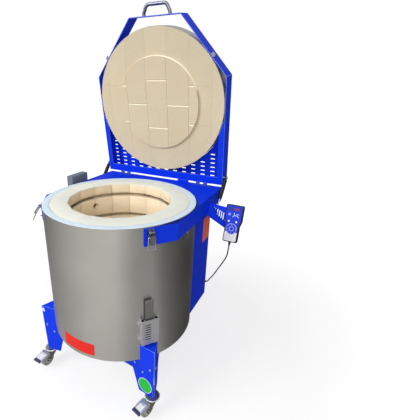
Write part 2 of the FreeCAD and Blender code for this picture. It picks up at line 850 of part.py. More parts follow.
def make_latch_bail(side):
    y, z = bail_pivot(side)
    hang = math.radians(lever_rest[side] * 0.8)
    foot_y = y - math.sin(hang) * bail_reach
    foot_z = z - math.cos(hang) * bail_reach
    legs = []
    for x in (-1, 1):
        legs.append((x * 9.2, y, z))
        legs.append((x * 14.5, y, z))
    route = [legs[0], legs[1], (-14.5, foot_y, foot_z), (14.5, foot_y, foot_z), legs[3], legs[2]]
    return tube_along(route, 2.0, "latch bail")


def make_latch_keeper():
    """A hook on the lid frame's diagonal wall, above the latch when the lid is closed."""
    plate = block(-9.0, 9.0, -2.4, -0.3, lid_level(4.0), lid_level(26.0))
    arm = block(-9.0, 9.0, -13.0, -2.0, lid_level(4.0), lid_level(6.5))
    lip = block(-9.0, 9.0, -13.0, -10.8, lid_level(4.0), lid_level(12.0))
    keeper = union([plate, arm, lip])
    run = Vector(frame_half - frame_front_half, frame_corner_y - frame_front, 0).normalize()
    point = latch_place()[0]
    corner = Vector(frame_half, frame_corner_y, 0)
    along = (point - corner).dot(run)
    foot = corner + run * along
    angle = math.degrees(math.atan2(run.y, run.x))
    return turned(keeper, angle, foot.x, foot.y)


def make_lid_fittings():
    keepers = both_sides(make_latch_keeper())
    magnet = block(-frame_half - 13.0, -frame_half - 0.2, 108.0, 150.0, lid_level(42.0), lid_level(60.0))
    return group(keepers + [magnet])


def strut_high_closed():
    """The strut's upper pin with the lid closed."""
    turn = math.radians(lid_open_angle)
    dy = strut_high[0] - hinge_y
    dz = strut_high[1] - hinge_z
    return (hinge_y + dy * math.cos(turn) - dz * math.sin(turn),
            hinge_z + dy * math.sin(turn) + dz * math.cos(turn))


def strut_pin(y, z, wall_x):
    shank = rod((wall_x, y, z), (1, 0, 0), strut_pin_radius, strut_x + 9.0 - wall_x)
    base = rod((wall_x, y, z), (1, 0, 0), 8.5, 4.0)
    head = rod((strut_x + 5.6, y, z), (1, 0, 0), 6.5, 3.4)
    return union([shank, base, head])


def make_strut_pins():
    y, z = strut_high_closed()
    return group(both_sides(strut_pin(y, z, frame_half + 0.2)))


def make_strut_brackets():
    y, z = strut_low
    plate = block(collar_half + 0.2, collar_half + 2.7, y - 16.0, y + 16.0, z - 14.0, 858.0)
    bracket = union([plate, strut_pin(y, z, collar_half + 0.2)])
    return group(both_sides(bracket))


def strut_length():
    return math.hypot(strut_high[0] - strut_low[0], strut_high[1] - strut_low[1])


def along_strut(shape):
    """A strut piece built along +Y from the lower pin, tilted up to the upper pin."""
    tilt = math.degrees(math.atan2(strut_high[1] - strut_low[1], strut_high[0] - strut_low[0]))
    copy = shape.copy()
    copy.rotate(Vector(0, 0, 0), X_AXIS, tilt)
    copy.translate(Vector(strut_x, strut_low[0], strut_low[1]))
    return copy


def strut_eye(y):
    eye = rod((-4.8, y, 0), (1, 0, 0), 9.0, 9.6)
    return eye


def make_strut_rod():
    stem = rod((0, 6.0, 0), (0, 1, 0), strut_rod_radius, 110.0)
    bore = rod((-10.0, 0, 0), (1, 0, 0), strut_pin_radius + 0.06, 20.0)
    return along_strut(union([strut_eye(0.0), stem]).cut(bore))


def make_strut_cylinder():
    length = strut_length()
    top = length - 12.0
    low = length - 120.0
    tube = rod((0, low, 0), (0, 1, 0), strut_tube_radius, top - low)
    tube = tube.cut(rod((0, low - 1.0, 0), (0, 1, 0), strut_bore_radius, top - low - 5.0))
    neck = rod((0, top - 1.0, 0), (0, 1, 0), 4.6, 8.0)
    bore = rod((-10.0, length, 0), (1, 0, 0), strut_pin_radius + 0.06, 20.0)
    return along_strut(union([tube, neck, strut_eye(length)]).cut(bore))


# Hinges

def hinge_spans(kind):
    """X spans of the fixed or moving knuckles of the right hinge."""
    share = (hinge_to - hinge_from) / 5.0
    picks = (0, 2, 4) if kind == "fixed" else (1, 3)
    return [(hinge_from + pick * share + 0.3, hinge_from + (pick + 1) * share - 0.3) for pick in picks]


def knuckle(x0, x1, bore_radius):
    body = rod((x0, hinge_y, hinge_z), (1, 0, 0), knuckle_radius, x1 - x0)
    return body, rod((x0 - 1.0, hinge_y, hinge_z), (1, 0, 0), bore_radius, x1 - x0 + 2.0)


def make_hinge_fixed():
    under = collar_top - collar_sheet - 0.1
    leaf = block(hinge_from, hinge_to, 424.5, 428.8, under - 2.4, under)
    pieces = [leaf]
    bores = []
    for x0, x1 in hinge_spans("fixed"):
        body, bore = knuckle(x0, x1, hinge_pin_radius + 0.02)
        pieces.append(body)
        pieces.append(block(x0, x1, hinge_y + 2.0, 426.0, under - 2.4, under))
        bores.append(bore)
    hinge = union(pieces)
    for bore in bores:
        hinge = hinge.cut(bore)
    pins = []
    for side, tail in ((-1, 1.5), (1, pin_tail)):
        start = -hinge_to - tail if side < 0 else hinge_from - 1.5
        length = hinge_to - hinge_from + tail + 1.5
        pins.append(rod((start, hinge_y, hinge_z), (1, 0, 0), hinge_pin_radius, length))
    return group(both_sides(hinge) + pins)


def make_hinge_moving():
    leaf = block(hinge_from, hinge_to, frame_back + 0.2, frame_back + 2.8, lid_level(4.0), lid_level(42.0))
    pieces = [leaf]
    bores = []
    for x0, x1 in hinge_spans("moving"):
        body, bore = knuckle(x0, x1, hinge_pin_radius + 0.05)
        pieces.append(body)
        profile = [(frame_back + 0.2, 903.5), (frame_back + 0.2, 913.0), (frame_back + 3.0, 913.0),
                   (hinge_y + 2.0, hinge_z + 5.5), (hinge_y - 5.5, hinge_z + 2.0)]
        corners = [Vector(x0, y, z) for y, z in profile]
        face = Part.Face(Part.makePolygon(corners + corners[:1]))
        pieces.append(face.extrude(Vector(x1 - x0, 0, 0)))
        bores.append(bore)
    hinge = union(pieces)
    for bore in bores:
        hinge = hinge.cut(bore)
    return group(both_sides(hinge))


# Fittings on the drum

def make_air_inlet():
    """Slotted housing over the air hole, open at its back, with ears and a guide for the slide."""
    z0 = 366.0
    z1 = 490.0
    front = -jacket_radius - 20.0
    outer = block(-39.0, 39.0, front, -jacket_radius + 8.0, z0, z1)
    inner = block(-37.5, 37.5, -jacket_radius - 18.5, -jacket_radius + 20.0, z0 + 1.5, z1 - 1.5)
    ears = []
    for x, z in ((-43.0, 470.0), (-43.0, 392.0), (43.0, 478.0)):
        ears.append(block(x - 7.0, x + 7.0, -jacket_radius - 3.0, -jacket_radius + 8.0, z - 8.0, z + 8.0))
        ears.append(rod((x, -jacket_radius - 2.5, z), (0, -1, 0), 4.5, 3.2))
    shape = union([outer.cut(inner)] + ears).cut(inner)
    for row in range(7):
        z = 392.0 + row * 12.0
        shape = shape.cut(block(-27.0, 3.0, front - 5.0, front + 5.0, z, z + 5.0))
    shape = shape.cut(block(-36.5, 36.5, front + 2.5, -jacket_radius - 1.0, z1 - 5.0, z1 + 5.0))
    guides = []
    for side in (-1, 1):
        x = -1.0 + side * 22.0
        guides.append(block(x - 1.5, x + 1.5, front + 1.0, front + 12.0, z0 + 1.0, z1 - 1.0))
    shape = union([shape] + guides).cut(disc(jacket_radius + 0.4, 300.0, 600.0))
    return turned(shape, inlet_angle)


def make_air_slide():
    y1 = -jacket_radius - 9.0
    plate = block(-20.0, 18.0, y1 - 2.5, y1, 398.0, 584.0)
    lip = block(-20.0, 18.0, y1 - 12.0, y1, 581.5, 584.0)
    return turned(union([plate, lip]), inlet_angle)


def make_switch_box():
    body = block(-398.0, -357.5, 80.0, 205.0, 852.0, 940.0)
    edges = [edge for edge in body.Edges if abs(edge.tangentAt(edge.FirstParameter).z) > 0.9]
    body = body.makeFillet(4.0, edges)
    foot = block(-358.0, -collar_half - 0.2, 96.0, 190.0, 856.0, 892.0)
    return union([body, foot])


def make_badge():
    shell = ring(jacket_radius + 0.2, jacket_radius + 1.4, 291.0, 351.0)
    wedge = slab([(0, 0), (-115.0, -400.0), (85.0, -400.0)], 280.0, 360.0)
    return shell.common(wedge)


def make_leg_plate_badge():
    """A blank oval plate on the right leg's front wing."""
    half_spread = leg_plate(leg_sheet)[1]
    oval = rod((0, 0.0, 0), (0, -1, 0), 1.0, 1.0)
    matrix = FreeCAD.Matrix()
    matrix.scale(Vector(28.0, 1.0, 41.0))
    oval = oval.transformGeometry(matrix)
    oval.translate(Vector(52.0, -0.2, 138.0))
    oval.rotate(Vector(52.0, 0, 138.0), Y_AXIS, 8.0)
    oval.rotate(Vector(0, 0, 0), Z_AXIS, 90.0 - half_spread)
    oval.translate(Vector(0, -leg_apex_radius, 0))
    return turned(oval.mirror(Vector(0, 0, 0), X_AXIS), leg_angle)


def make_blank_plates():
    side_plate = block(box_half + 0.1, box_half + 0.9, 322.0, 418.0, 610.0, 745.0)
    return group([make_badge(), make_leg_plate_badge(), side_plate])


# Hand controller

def tilted(shape):
    """A controller piece, built upright from its bottom edge, leaned back and placed."""
    copy = shape.copy()
    copy.rotate(Vector(0, 0, 0), X_AXIS, -controller_tilt)
    copy.translate(Vector(controller_x, controller_y, controller_z))
    return copy


def controller_outline(inset):
    wide = controller_half_width - inset
    narrow = controller_half_width - 7.0 - inset
    top = controller_height - inset
    bottom = inset
    return [(-narrow, bottom), (narrow, bottom), (narrow, 74.0), (wide, 98.0),
            (wide, top), (-wide, top), (-wide, 98.0), (-narrow, 74.0)]


def controller_slab(inset, y0, y1, corner):
    corners = [Vector(x, y0, z) for x, z in controller_outline(inset)]
    face = Part.Face(Part.makePolygon(corners + corners[:1]))
    body = face.extrude(Vector(0, y1 - y0, 0))
    edges = [edge for edge in body.Edges if abs(edge.tangentAt(edge.FirstParameter).y) > 0.9]
    return body.makeFillet(corner, edges)


def make_controller_body():
    body = controller_slab(0.0, 0.0, controller_depth, 7.0)
    exit_hole = rod((0, 12.0, -12.0), (0, 0, 1), cord_radius + 0.2, 20.0)
    sleeve = rod((0, 12.0, -10.0), (0, 0, 1), 6.0, 12.0)
    return tilted(union([body, sleeve]).cut(exit_hole))


def make_controller_face():
    overlay = controller_slab(3.5, -0.9, -0.1, 5.0)
    keys = [rod((0, -0.4, 62.0), (0, -1, 0), 24.0, 0.9)]
    for x in (-17.0, 17.0):
        keys.append(rod((x, -0.4, 96.0), (0, -1, 0), 4.5, 1.4))
    return tilted(union([overlay] + keys))


def make_controller_bracket():
    back = controller_depth + 0.3
    corners = [Vector(x, back, z) for x, z in
               [(-131.7, 160.0), (18.0, 150.0), (18.0, 52.0), (-30.0, 52.0), (-131.7, 98.0)]]
    face = Part.Face(Part.makePolygon(corners + corners[:1]))
    plate = face.extrude(Vector(0, 2.5, 0))
    vents = []
    for count in range(7):
        x = -104.0 + count * 10.0
        low = 138.0 - 4.0 * count
        vents.append(block(x - 2.0, x + 2.0, back - 5.0, back + 8.0, low - 14.0 - 2.0 * count, low + 8.0))
    plate = tilted(plate.cut(Part.makeCompound(vents)))
    flange = block(collar_half + 0.2, collar_half + 3.2, 186.0, 262.0, 836.0, 888.0)
    screws = [screw((collar_half + 3.1, y, 848.0), (1, 0, 0), 4.5, 3.0, 2.0, 1.0) for y in (246.0,)]
    return union([plate, flange] + screws)


def make_screws():
    """Leg screws, rear cover screws and arm screws."""
    screws = make_leg_screws()
    for x in (-285.0, 0.0, 285.0):
        for z in (246.0, 540.0, 812.0):
            screws.append(screw((x, box_back + 2.5, z), (0, 1, 0), 4.5, 3.0, 2.0, 8.0))
    return group(screws)


def make_cord():
    return tube_along(cord_route, cord_radius, "controller cord")


def export(name, shape):
    moved = shape.copy()
    moved.translate(Vector(0, 0, -chamber_floor))
    if not moved.isValid():
        print("not valid:", name)
    if shape.Volume <= 0:
        print("no volume:", name)
    moved.exportStep(os.path.join("parts", name + ".step"))


def build_drum():
    return {
        "jacket": make_jacket(),
        "base_pan": make_base_pan(),
        "fibre_insulation": make_fibre_insulation(),
        "floor_bricks": make_floor_bricks(),
        "wall_bricks_upper": make_rows((2,)),
        "wall_bricks_lower": make_rows((0, 1)),
        "heating_elements": make_heating_elements(),
        "element_bushings": make_element_bushings(),
        "thermocouple": make_thermocouple(),
        "spy_bung": make_spy_bung(),
        "air_inlet": make_air_inlet(),
        "air_slide": make_air_slide(),
        "switch_box": make_switch_box(),
        "blank_plates": make_blank_plates(),
    }


def build_frame():
    leg = make_front_leg()
    return {
        "collar": make_collar(),
        "electrics_box": make_electrics_box(),
        "rear_cover": make_rear_cover(),
        "terminal_block": make_terminal_block(),
        "contactor": make_contactor(),
        "internal_wiring": make_internal_wiring(),
        "cable_glands": make_cable_glands(),
        "front_leg_right": leg,
        "front_leg_left": mirrored(leg),
        "rear_legs": group(both_sides(rear_leg())),
        "screws": make_screws(),
        "strut_brackets": make_strut_brackets(),
        "hinge_fixed": make_hinge_fixed(),
        "latch_bases": group([at_latch(make_latch_base(), side) for side in ("left", "right")]),
        "controller_bracket": make_controller_bracket(),
        "controller_body": make_controller_body(),
        "controller_face": make_controller_face(),
        "controller_cord": make_cord(),
    }


def build_lid():
    closed = {
        "lid_frame": make_lid_frame(),
        "lid_panel": make_lid_panel(),
        "lid_rim": make_lid_rim(),
        "lid_cover": make_lid_cover(),
        "lid_bricks": make_lid_bricks(),
        "lid_handle": make_lid_handle(),
        "lid_fittings": make_lid_fittings(),
        "hinge_moving": make_hinge_moving(),
        "strut_pins": make_strut_pins(),
    }
    return {name: opened(shape) for name, shape in closed.items()}


def build_moving():
    nodes = {}
    for side in ("left", "right"):
        nodes["latch_lever_" + side] = at_latch(make_latch_lever(side), side)
        nodes["latch_bail_" + side] = at_latch(make_latch_bail(side), side)
    cylinder = make_strut_cylinder()
    stem = make_strut_rod()
    nodes["strut_cylinder_right"] = cylinder
    nodes["strut_cylinder_left"] = mirrored(cylinder)
    nodes["strut_rod_right"] = stem
    nodes["strut_rod_left"] = mirrored(stem)
    front_x, front_y = front_castor()
    places = {
        "front_right": (front_x, front_y),
        "front_left": (-front_x, front_y),
        "rear_right": (rear_castor[0], rear_castor[1]),
        "rear_left": (-rear_castor[0], rear_castor[1]),
    }
    for place, (x, y) in places.items():
        for kind, shape in castor_parts(place.startswith("front")).items():
            nodes["castor_" + kind + "_" + place] = place_castor(shape, place, x, y)
    return nodes


def main():
    os.makedirs("parts", exist_ok=True)
    nodes = {}
    for builder in (build_drum, build_frame, build_lid, build_moving):
        nodes.update(builder())
    for name, shape in nodes.items():
        export(name, shape)
    print(len(nodes), "nodes, origin at height", chamber_floor)


main()
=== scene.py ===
"""Electric top-loading kiln: brick-lined steel drum, lid held open, castors and hand controller.

Every length is in millimetres from the ground until it becomes a mesh, where it is turned into metres
from the centre of the chamber floor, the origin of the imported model.
"""

import json
import logging
import random
from dataclasses import dataclass, field
from enum import Enum
from math import atan2, cos, hypot, pi, radians, sin, sqrt, tan
from typing import Callable, Sequence

import bmesh
import bpy
from mathutils import Matrix, Vector


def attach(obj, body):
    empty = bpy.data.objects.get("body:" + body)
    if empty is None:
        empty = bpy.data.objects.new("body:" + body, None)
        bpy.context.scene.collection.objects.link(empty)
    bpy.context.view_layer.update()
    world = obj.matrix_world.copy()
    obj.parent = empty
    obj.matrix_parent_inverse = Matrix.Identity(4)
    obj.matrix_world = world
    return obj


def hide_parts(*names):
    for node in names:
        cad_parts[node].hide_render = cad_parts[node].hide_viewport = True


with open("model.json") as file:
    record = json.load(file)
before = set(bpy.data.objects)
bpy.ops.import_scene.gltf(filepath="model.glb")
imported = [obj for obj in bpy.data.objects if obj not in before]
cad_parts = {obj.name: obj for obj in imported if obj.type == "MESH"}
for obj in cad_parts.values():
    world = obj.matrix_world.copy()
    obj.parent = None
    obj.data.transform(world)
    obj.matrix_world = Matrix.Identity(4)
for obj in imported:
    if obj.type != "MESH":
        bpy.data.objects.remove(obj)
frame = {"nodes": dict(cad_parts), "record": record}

logging.basicConfig(level=logging.INFO, format="%(message)s")
log = logging.getLogger("kiln")

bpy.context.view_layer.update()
FLOOR_HEIGHT = 400.0
MM = 0.001

Point = Sequence[float]
Colour = tuple[float, float, float]
Outline = list[tuple[float, float]]
Socket = bpy.types.NodeSocket


def place(x: float, y: float, z: float) -> Vector:
    """A point in millimetres from the ground, as metres from the chamber floor."""
    return Vector((x * MM, y * MM, (z - FLOOR_HEIGHT) * MM))


def outward(angle: float) -> Vector:
    """The level unit vector that points away from the drum's axis at an angle from the front."""
    turn = radians(angle)
    return Vector((sin(turn), -cos(turn), 0.0))


def on_axis(height: float) -> Vector:
    """The point at a height on the drum's axis."""
    return Vector((0.0, 0.0, height))


def turns(count: int) -> list[float]:
    """The angles of even steps round a circle."""
    return [2 * pi * step / count for step in range(count)]


def linked(name: str, data: bpy.types.ID) -> bpy.types.Object:
    """A new object in the scene.

    Args:
        name: the object's name.
        data: its mesh, curve, camera or lamp.

    Returns:
        The object, at the origin.
    """
    item = bpy.data.objects.new(name, data)
    bpy.context.scene.collection.objects.link(item)
    return item


def ended(work: bmesh.types.BMesh, name: str) -> bpy.types.Mesh:
    """Turns what was built into a mesh and frees it.

    Args:
        work: the faces built so far.
        name: the mesh's name.

    Returns:
        The mesh.
    """
    data = bpy.data.meshes.new(name)
    work.to_mesh(data)
    work.free()
    return data


class Slot(Enum):
    """The record's material slots that new pieces take their finish from."""

    JACKET = "jacket"
    BLUE = "blue_paint"
    BRICK = "brick"
    FIBRE = "fibre"
    ELEMENT = "element_wire"
    CERAMIC = "white_ceramic"
    STAINLESS = "stainless"
    CHROME = "chrome_wire"
    ZINC = "zinc"
    GALVANISED = "galvanised"
    BLACK = "black_plastic"
    DARK_BOX = "dark_box"
    PRINT = "panel_print"
    CORD = "cord"
    RED = "red_plate"
    WHEEL = "grey_wheel"
    BLACK_STEEL = "black_steel"
    WIRE = "wire"


# Shading


class Tree:
    """A thin layer over a shader or geometry node tree."""

    def __init__(self, tree: bpy.types.NodeTree) -> None:
        """Keeps the tree that nodes are added to."""
        self.tree = tree

    def add(self, kind: str, inputs: dict | None = None, **settings: object) -> bpy.types.Node:
        """Adds a node.

        Args:
            kind: the node's type name.
            inputs: values or output sockets by input name or index.
            settings: attributes of the node.

        Returns:
            The new node.
        """
        node = self.tree.nodes.new(kind)
        for name, value in settings.items():
            setattr(node, name, value)
        for key, value in (inputs or {}).items():
            if isinstance(value, Socket):
                self.tree.links.new(value, node.inputs[key])
            else:
                node.inputs[key].default_value = value
        return node

    def math(self, operation: str, first: object, second: object = 0.0) -> Socket:
        """The output of a Math node on two values or sockets."""
        return self.add("ShaderNodeMath", {0: first, 1: second}, operation=operation).outputs[0]

    def blend(self, factor: object, first: object, second: object) -> Socket:
        """The colour output of a Mix node."""
        return self.add("ShaderNodeMix", {0: factor, 6: first, 7: second}, data_type="RGBA").outputs[2]

    def scaled(self, vector: Socket, factor: Socket) -> Socket:
        """A vector or colour times a number."""
        return self.add("ShaderNodeVectorMath", {0: vector, "Scale": factor}, operation="SCALE").outputs[0]

    def spot(self) -> Socket:
        """The point of the surface in Object coordinates."""
        return self.add("ShaderNodeTexCoord").outputs["Object"]

    def ramp(self, source: Socket, low: float, high: float,
             start: float = 0.0, end: float = 1.0) -> Socket:
        """Maps a value from one range to another, held inside it."""
        return self.add("ShaderNodeMapRange", {0: source, 1: low, 2: high, 3: start, 4: end}).outputs[0]


def shader_group(name: str, inputs: dict[str, object], outputs: dict[str, str]) -> Tree:
    """A shader node group with named sockets.

    Args:
        name: the group's name.
        inputs: default values by input name; a number makes a value socket, a tuple a vector or colour.
        outputs: kinds of socket by output name.

    Returns:
        The tree to fill, with its inputs' and outputs' sockets as attributes.
    """
    tree = bpy.data.node_groups.new(name, "ShaderNodeTree")
    for label, value in inputs.items():
        kind = "Float"
        if isinstance(value, tuple):
            kind = "Vector" if len(value) == 3 else "Color"
        socket = tree.interface.new_socket(label, in_out="INPUT", socket_type="NodeSocket" + kind)
        socket.default_value = value
    for label, kind in outputs.items():
        tree.interface.new_socket(label, in_out="OUTPUT", socket_type="NodeSocket" + kind)
    wrapped = Tree(tree)
    wrapped.given = tree.nodes.new("NodeGroupInput").outputs
    wrapped.result = tree.nodes.new("NodeGroupOutput").inputs
    return wrapped


class SharedEffects:
    """The shader node groups that several finishes use."""

    def __init__(self) -> None:
        """Builds each group once."""
        self.mottle = self._mottle()
        self.grain = self._grain()
        self.pores = self._pores()
        self.grime = self._grime()

    @staticmethod
    def _mottle() -> bpy.types.NodeTree:
        """Soft patches of lighter and darker colour.

        Returns:
            The group, which puts out the colour and the patches themselves.
        """
        group = shader_group("mottle", {"Colour": (0.5, 0.5, 0.5, 1.0), "Scale": 10.0, "Amount": 0.1},
                             {"Colour": "Color", "Value": "Float"})
        given, result = group.given, group.result
        spot = group.spot()
        broad = group.add("ShaderNodeTexNoise", {"Vector": spot, "Scale": given["Scale"], "Detail": 5.0,
                                                 "Roughness": 0.6})
        level = group.math("MULTIPLY", group.math("SUBTRACT", broad.outputs["Fac"], 0.5), given["Amount"])
        factor = group.math("ADD", group.math("MULTIPLY", level, 2.0), 1.0)
        group.tree.links.new(group.scaled(given["Colour"], factor), result["Colour"])
        group.tree.links.new(broad.outputs["Fac"], result["Value"])
        return group.tree

    @staticmethod
    def _grain() -> bpy.types.NodeTree:
        """Fine parallel scratches, as long rows of noise.

        Returns:
            The group, which puts out the scratches.
        """
        group = shader_group("grain", {"Stretch": (40.0, 40.0, 2400.0), "Fineness": 1.0},
                             {"Value": "Float"})
        given, result = group.given, group.result
        spot = group.spot()
        stretched = group.add("ShaderNodeVectorMath", {0: spot, 1: given["Stretch"]},
                              operation="MULTIPLY").outputs[0]
        fine = group.add("ShaderNodeTexNoise", {"Vector": stretched, "Scale": given["Fineness"],
                                                "Detail": 3.0, "Roughness": 0.7})
        group.tree.links.new(fine.outputs["Fac"], result["Value"])
        return group.tree

    @staticmethod
    def _pores() -> bpy.types.NodeTree:
        """Small open pits.

        Returns:
            The group, which puts out a mask and a height.
        """
        group = shader_group("pores", {"Scale": 500.0, "Cover": 0.35},
                             {"Mask": "Float", "Height": "Float"})
        given, result = group.given, group.result
        spot = group.spot()
        cells = group.add("ShaderNodeTexVoronoi", {"Vector": spot, "Scale": given["Scale"],
                                                   "Randomness": 1.0})
        rough = group.add("ShaderNodeTexNoise", {"Vector": spot, "Scale": group.math(
            "MULTIPLY", given["Scale"], 0.45), "Detail": 4.0, "Roughness": 0.7})
        pit = group.math("LESS_THAN", cells.outputs["Distance"], given["Cover"])
        chance = group.ramp(rough.outputs["Fac"], 0.5, 0.62)
        mask = group.math("MULTIPLY", pit, chance)
        height = group.math("SUBTRACT", rough.outputs["Fac"], mask)
        group.tree.links.new(mask, result["Mask"])
        group.tree.links.new(height, result["Height"])
        return group.tree

    @staticmethod
    def _grime() -> bpy.types.NodeTree:
        """Faint smudges and handling marks.

        Returns:
            The group, which puts out a mask.
        """
        group = shader_group("grime", {"Scale": 18.0, "Amount": 0.5}, {"Mask": "Float"})
        given, result = group.given, group.result
        spot = group.spot()
        wide = group.add("ShaderNodeTexNoise", {"Vector": spot, "Scale": given["Scale"], "Detail": 8.0,
                                                "Roughness": 0.72, "Distortion": 0.6})
        mask = group.math("MULTIPLY", group.ramp(wide.outputs["Fac"], 0.5, 0.75), given["Amount"])
        group.tree.links.new(mask, result["Mask"])
        return group.tree


EFFECTS = SharedEffects()
NOISE_SPAN = (0.3, 0.7)


@dataclass(frozen=True)
class Finish:
    """A surface finish built from the shared effects.

    The fields are the base colour and the strengths of the effects; a strength of nought leaves one out.
    """

    name: str
    colour: Colour
    roughness: float = 0.5
    metallic: float = 0.0
    specular: float = 0.5
    anisotropy: float = 0.0
    mottle_scale: float = 10.0
    mottle: float = 0.06
    grain_stretch: Colour = (30.0, 30.0, 2400.0)
    grain_depth: float = 0.0
    grain_colour: float = 0.0
    pore_scale: float = 420.0
    pore_cover: float = 0.3
    pore_depth: float = 0.0
    pore_colour: Colour = (0.35, 0.26, 0.16)
    pore_strength: float = 0.4
    grime_colour: Colour = (0.2, 0.18, 0.15)
    grime: float = 0.0
    grime_scale: float = 18.0
    bump_scale: float = 0.0
    bump_depth: float = 0.0
    tone_amount: float = 0.0

    def material(self) -> bpy.types.Material:
        """Builds the finish the first time that it is asked for.

        Returns:
            The material.
        """
        known = bpy.data.materials.get(self.name)
        if known is not None:
            return known
        made = bpy.data.materials.new(self.name)
        made.use_nodes = True
        tree = Tree(made.node_tree)
        shader = made.node_tree.nodes["Principled BSDF"]
        for socket, value in (("Metallic", self.metallic), ("Specular IOR Level", self.specular),
                              ("Anisotropic", self.anisotropy),
                              ("Anisotropic Rotation", 0.25 if self.anisotropy else 0.0)):
            shader.inputs[socket].default_value = value
        base = tree.add("ShaderNodeGroup", {"Colour": (*self.colour, 1.0), "Scale": self.mottle_scale,
                                            "Amount": self.mottle}, node_tree=EFFECTS.mottle)
        colour = base.outputs["Colour"]
        rough = tree.ramp(base.outputs["Value"], *NOISE_SPAN, self.roughness - 0.04, self.roughness + 0.05)
        heights = []
        if self.tone_amount:
            tone = tree.add("ShaderNodeAttribute", attribute_name="tone").outputs["Fac"]
            lift = tree.ramp(tone, 0.0, 1.0, 1.0 - self.tone_amount, 1.0 + self.tone_amount * 0.5)
            colour = tree.scaled(colour, lift)
        if self.grain_depth:
            line = tree.add("ShaderNodeGroup", {"Stretch": self.grain_stretch},
                            node_tree=EFFECTS.grain).outputs["Value"]
            lift = tree.ramp(line, *NOISE_SPAN, 1.0 - self.grain_colour, 1.0 + self.grain_colour)
            colour = tree.scaled(colour, lift)
            rough = tree.math("ADD", rough, tree.math("MULTIPLY", tree.math("SUBTRACT", line, 0.5), 0.16))
            heights.append((line, self.grain_depth))
        if self.pore_depth:
            pores = tree.add("ShaderNodeGroup", {"Scale": self.pore_scale, "Cover": self.pore_cover},
                             node_tree=EFFECTS.pores)
            factor = tree.math("MULTIPLY", pores.outputs["Mask"], self.pore_strength)
            colour = tree.blend(factor, colour, (*self.pore_colour, 1.0))
            heights.append((pores.outputs["Height"], self.pore_depth))
        if self.grime:
            marks = tree.add("ShaderNodeGroup", {"Scale": self.grime_scale, "Amount": self.grime},
                             node_tree=EFFECTS.grime).outputs["Mask"]
            colour = tree.blend(marks, colour, (*self.grime_colour, 1.0))
            rough = tree.math("ADD", rough, tree.math("MULTIPLY", marks, 0.15))
        if self.bump_scale:
            peel = tree.add("ShaderNodeTexNoise", {"Vector": tree.spot(), "Scale": self.bump_scale, "Detail": 2.0})
            heights.append((peel.outputs["Fac"], self.bump_depth))
        made.node_tree.links.new(colour, shader.inputs["Base Color"])
        made.node_tree.links.new(rough, shader.inputs["Roughness"])
        normal = None
        for height, depth in heights:
            if depth:
                bump = tree.add("ShaderNodeBump", {"Height": height, "Strength": 1.0, "Distance": depth * MM})
                if normal is not None:
                    made.node_tree.links.new(normal, bump.inputs["Normal"])
                normal = bump.outputs["Normal"]
        if normal is not None:
            made.node_tree.links.new(normal, shader.inputs["Normal"])
        return made


PAINT = Finish(
    "blue powder coat", (0.0015, 0.036, 0.74), specular=0.12, mottle=0.05, bump_scale=900.0, bump_depth=0.05,
    grime=0.04, grime_colour=(0.01, 0.05, 0.4))
# Pale blue on the bevels of the legs and the lid frame: a painted highlight along the folded edges.
PAINT_EDGE_HIGHLIGHT = Finish("painted edge highlight", (0.24, 0.36, 0.93), roughness=0.4, specular=0.3, mottle=0.05)
JACKET = Finish(
    "brushed jacket steel", (0.60, 0.59, 0.565), roughness=0.33, metallic=1.0, anisotropy=0.6, mottle_scale=5.0,
    mottle=0.05, grain_stretch=(30.0, 30.0, 2200.0), grain_depth=0.02, grain_colour=0.05, grime=0.10, grime_scale=4.0,
    grime_colour=(0.42, 0.41, 0.38))
STAINLESS = Finish(
    "stainless sheet", (0.58, 0.58, 0.57), roughness=0.30, metallic=1.0, grain_depth=0.02, grain_colour=0.06)
CHROME = Finish(
    "bright plated steel", (0.72, 0.73, 0.75), roughness=0.14, metallic=1.0, mottle=0.04, grime=0.15,
    grime_colour=(0.3, 0.3, 0.3), grime_scale=60.0)
ZINC = Finish(
    "zinc plated steel", (0.60, 0.61, 0.62), roughness=0.32, metallic=1.0, mottle_scale=60.0, mottle=0.1, grime=0.2,
    grime_colour=(0.33, 0.33, 0.33), grime_scale=45.0)
GALVANISED = Finish(
    "galvanised sheet", (0.50, 0.52, 0.54), roughness=0.45, metallic=1.0, mottle_scale=80.0, mottle=0.22)
BRICK = Finish(
    "soft firebrick", (0.95, 0.81, 0.59), roughness=0.92, specular=0.2, mottle_scale=9.0, mottle=0.09,
    pore_cover=0.32, pore_depth=0.35, pore_strength=0.35, grime=0.12, grime_colour=(0.80, 0.62, 0.38),
    grime_scale=7.0, tone_amount=0.03)
# Its large tone amount also carries the painted shade gradient across the open lid.
LID_BRICK = Finish(
    "lid firebrick", (0.62, 0.535, 0.38), roughness=0.92, specular=0.2, mottle_scale=7.0, mottle=0.07, pore_depth=0.3,
    pore_strength=0.25, grain_stretch=(30.0, 30.0, 700.0), grain_depth=0.12, grain_colour=0.04, grime=0.30,
    grime_colour=(0.66, 0.48, 0.29), grime_scale=5.0, tone_amount=0.19)
HANDLE = Finish(
    "brushed tube", (0.21, 0.22, 0.27), roughness=0.36, metallic=1.0, mottle_scale=20.0,
    grain_stretch=(2200.0, 60.0, 60.0), grain_depth=0.02, grain_colour=0.08)
# A paler brick for the top of the wall: painted light from above.
RIM_BRICK_LIT = Finish(
    "firebrick top painted lit", (0.80, 0.81, 0.73), roughness=0.92, specular=0.2, mottle_scale=9.0, pore_depth=0.3,
    pore_strength=0.25, tone_amount=0.06)
FIBRE = Finish(
    "ceramic fibre blanket", (0.66, 0.77, 0.86), roughness=0.95, specular=0.1, mottle_scale=26.0, mottle=0.10,
    bump_scale=260.0, bump_depth=1.2)
ELEMENT = Finish(
    "oxidised element wire", (0.10, 0.085, 0.075), roughness=0.6, metallic=0.7, mottle_scale=90.0, mottle=0.3)
CERAMIC = Finish(
    "white ceramic", (0.80, 0.78, 0.72), roughness=0.35, mottle_scale=60.0, mottle=0.06, grime=0.15,
    grime_colour=(0.5, 0.42, 0.3), grime_scale=40.0)
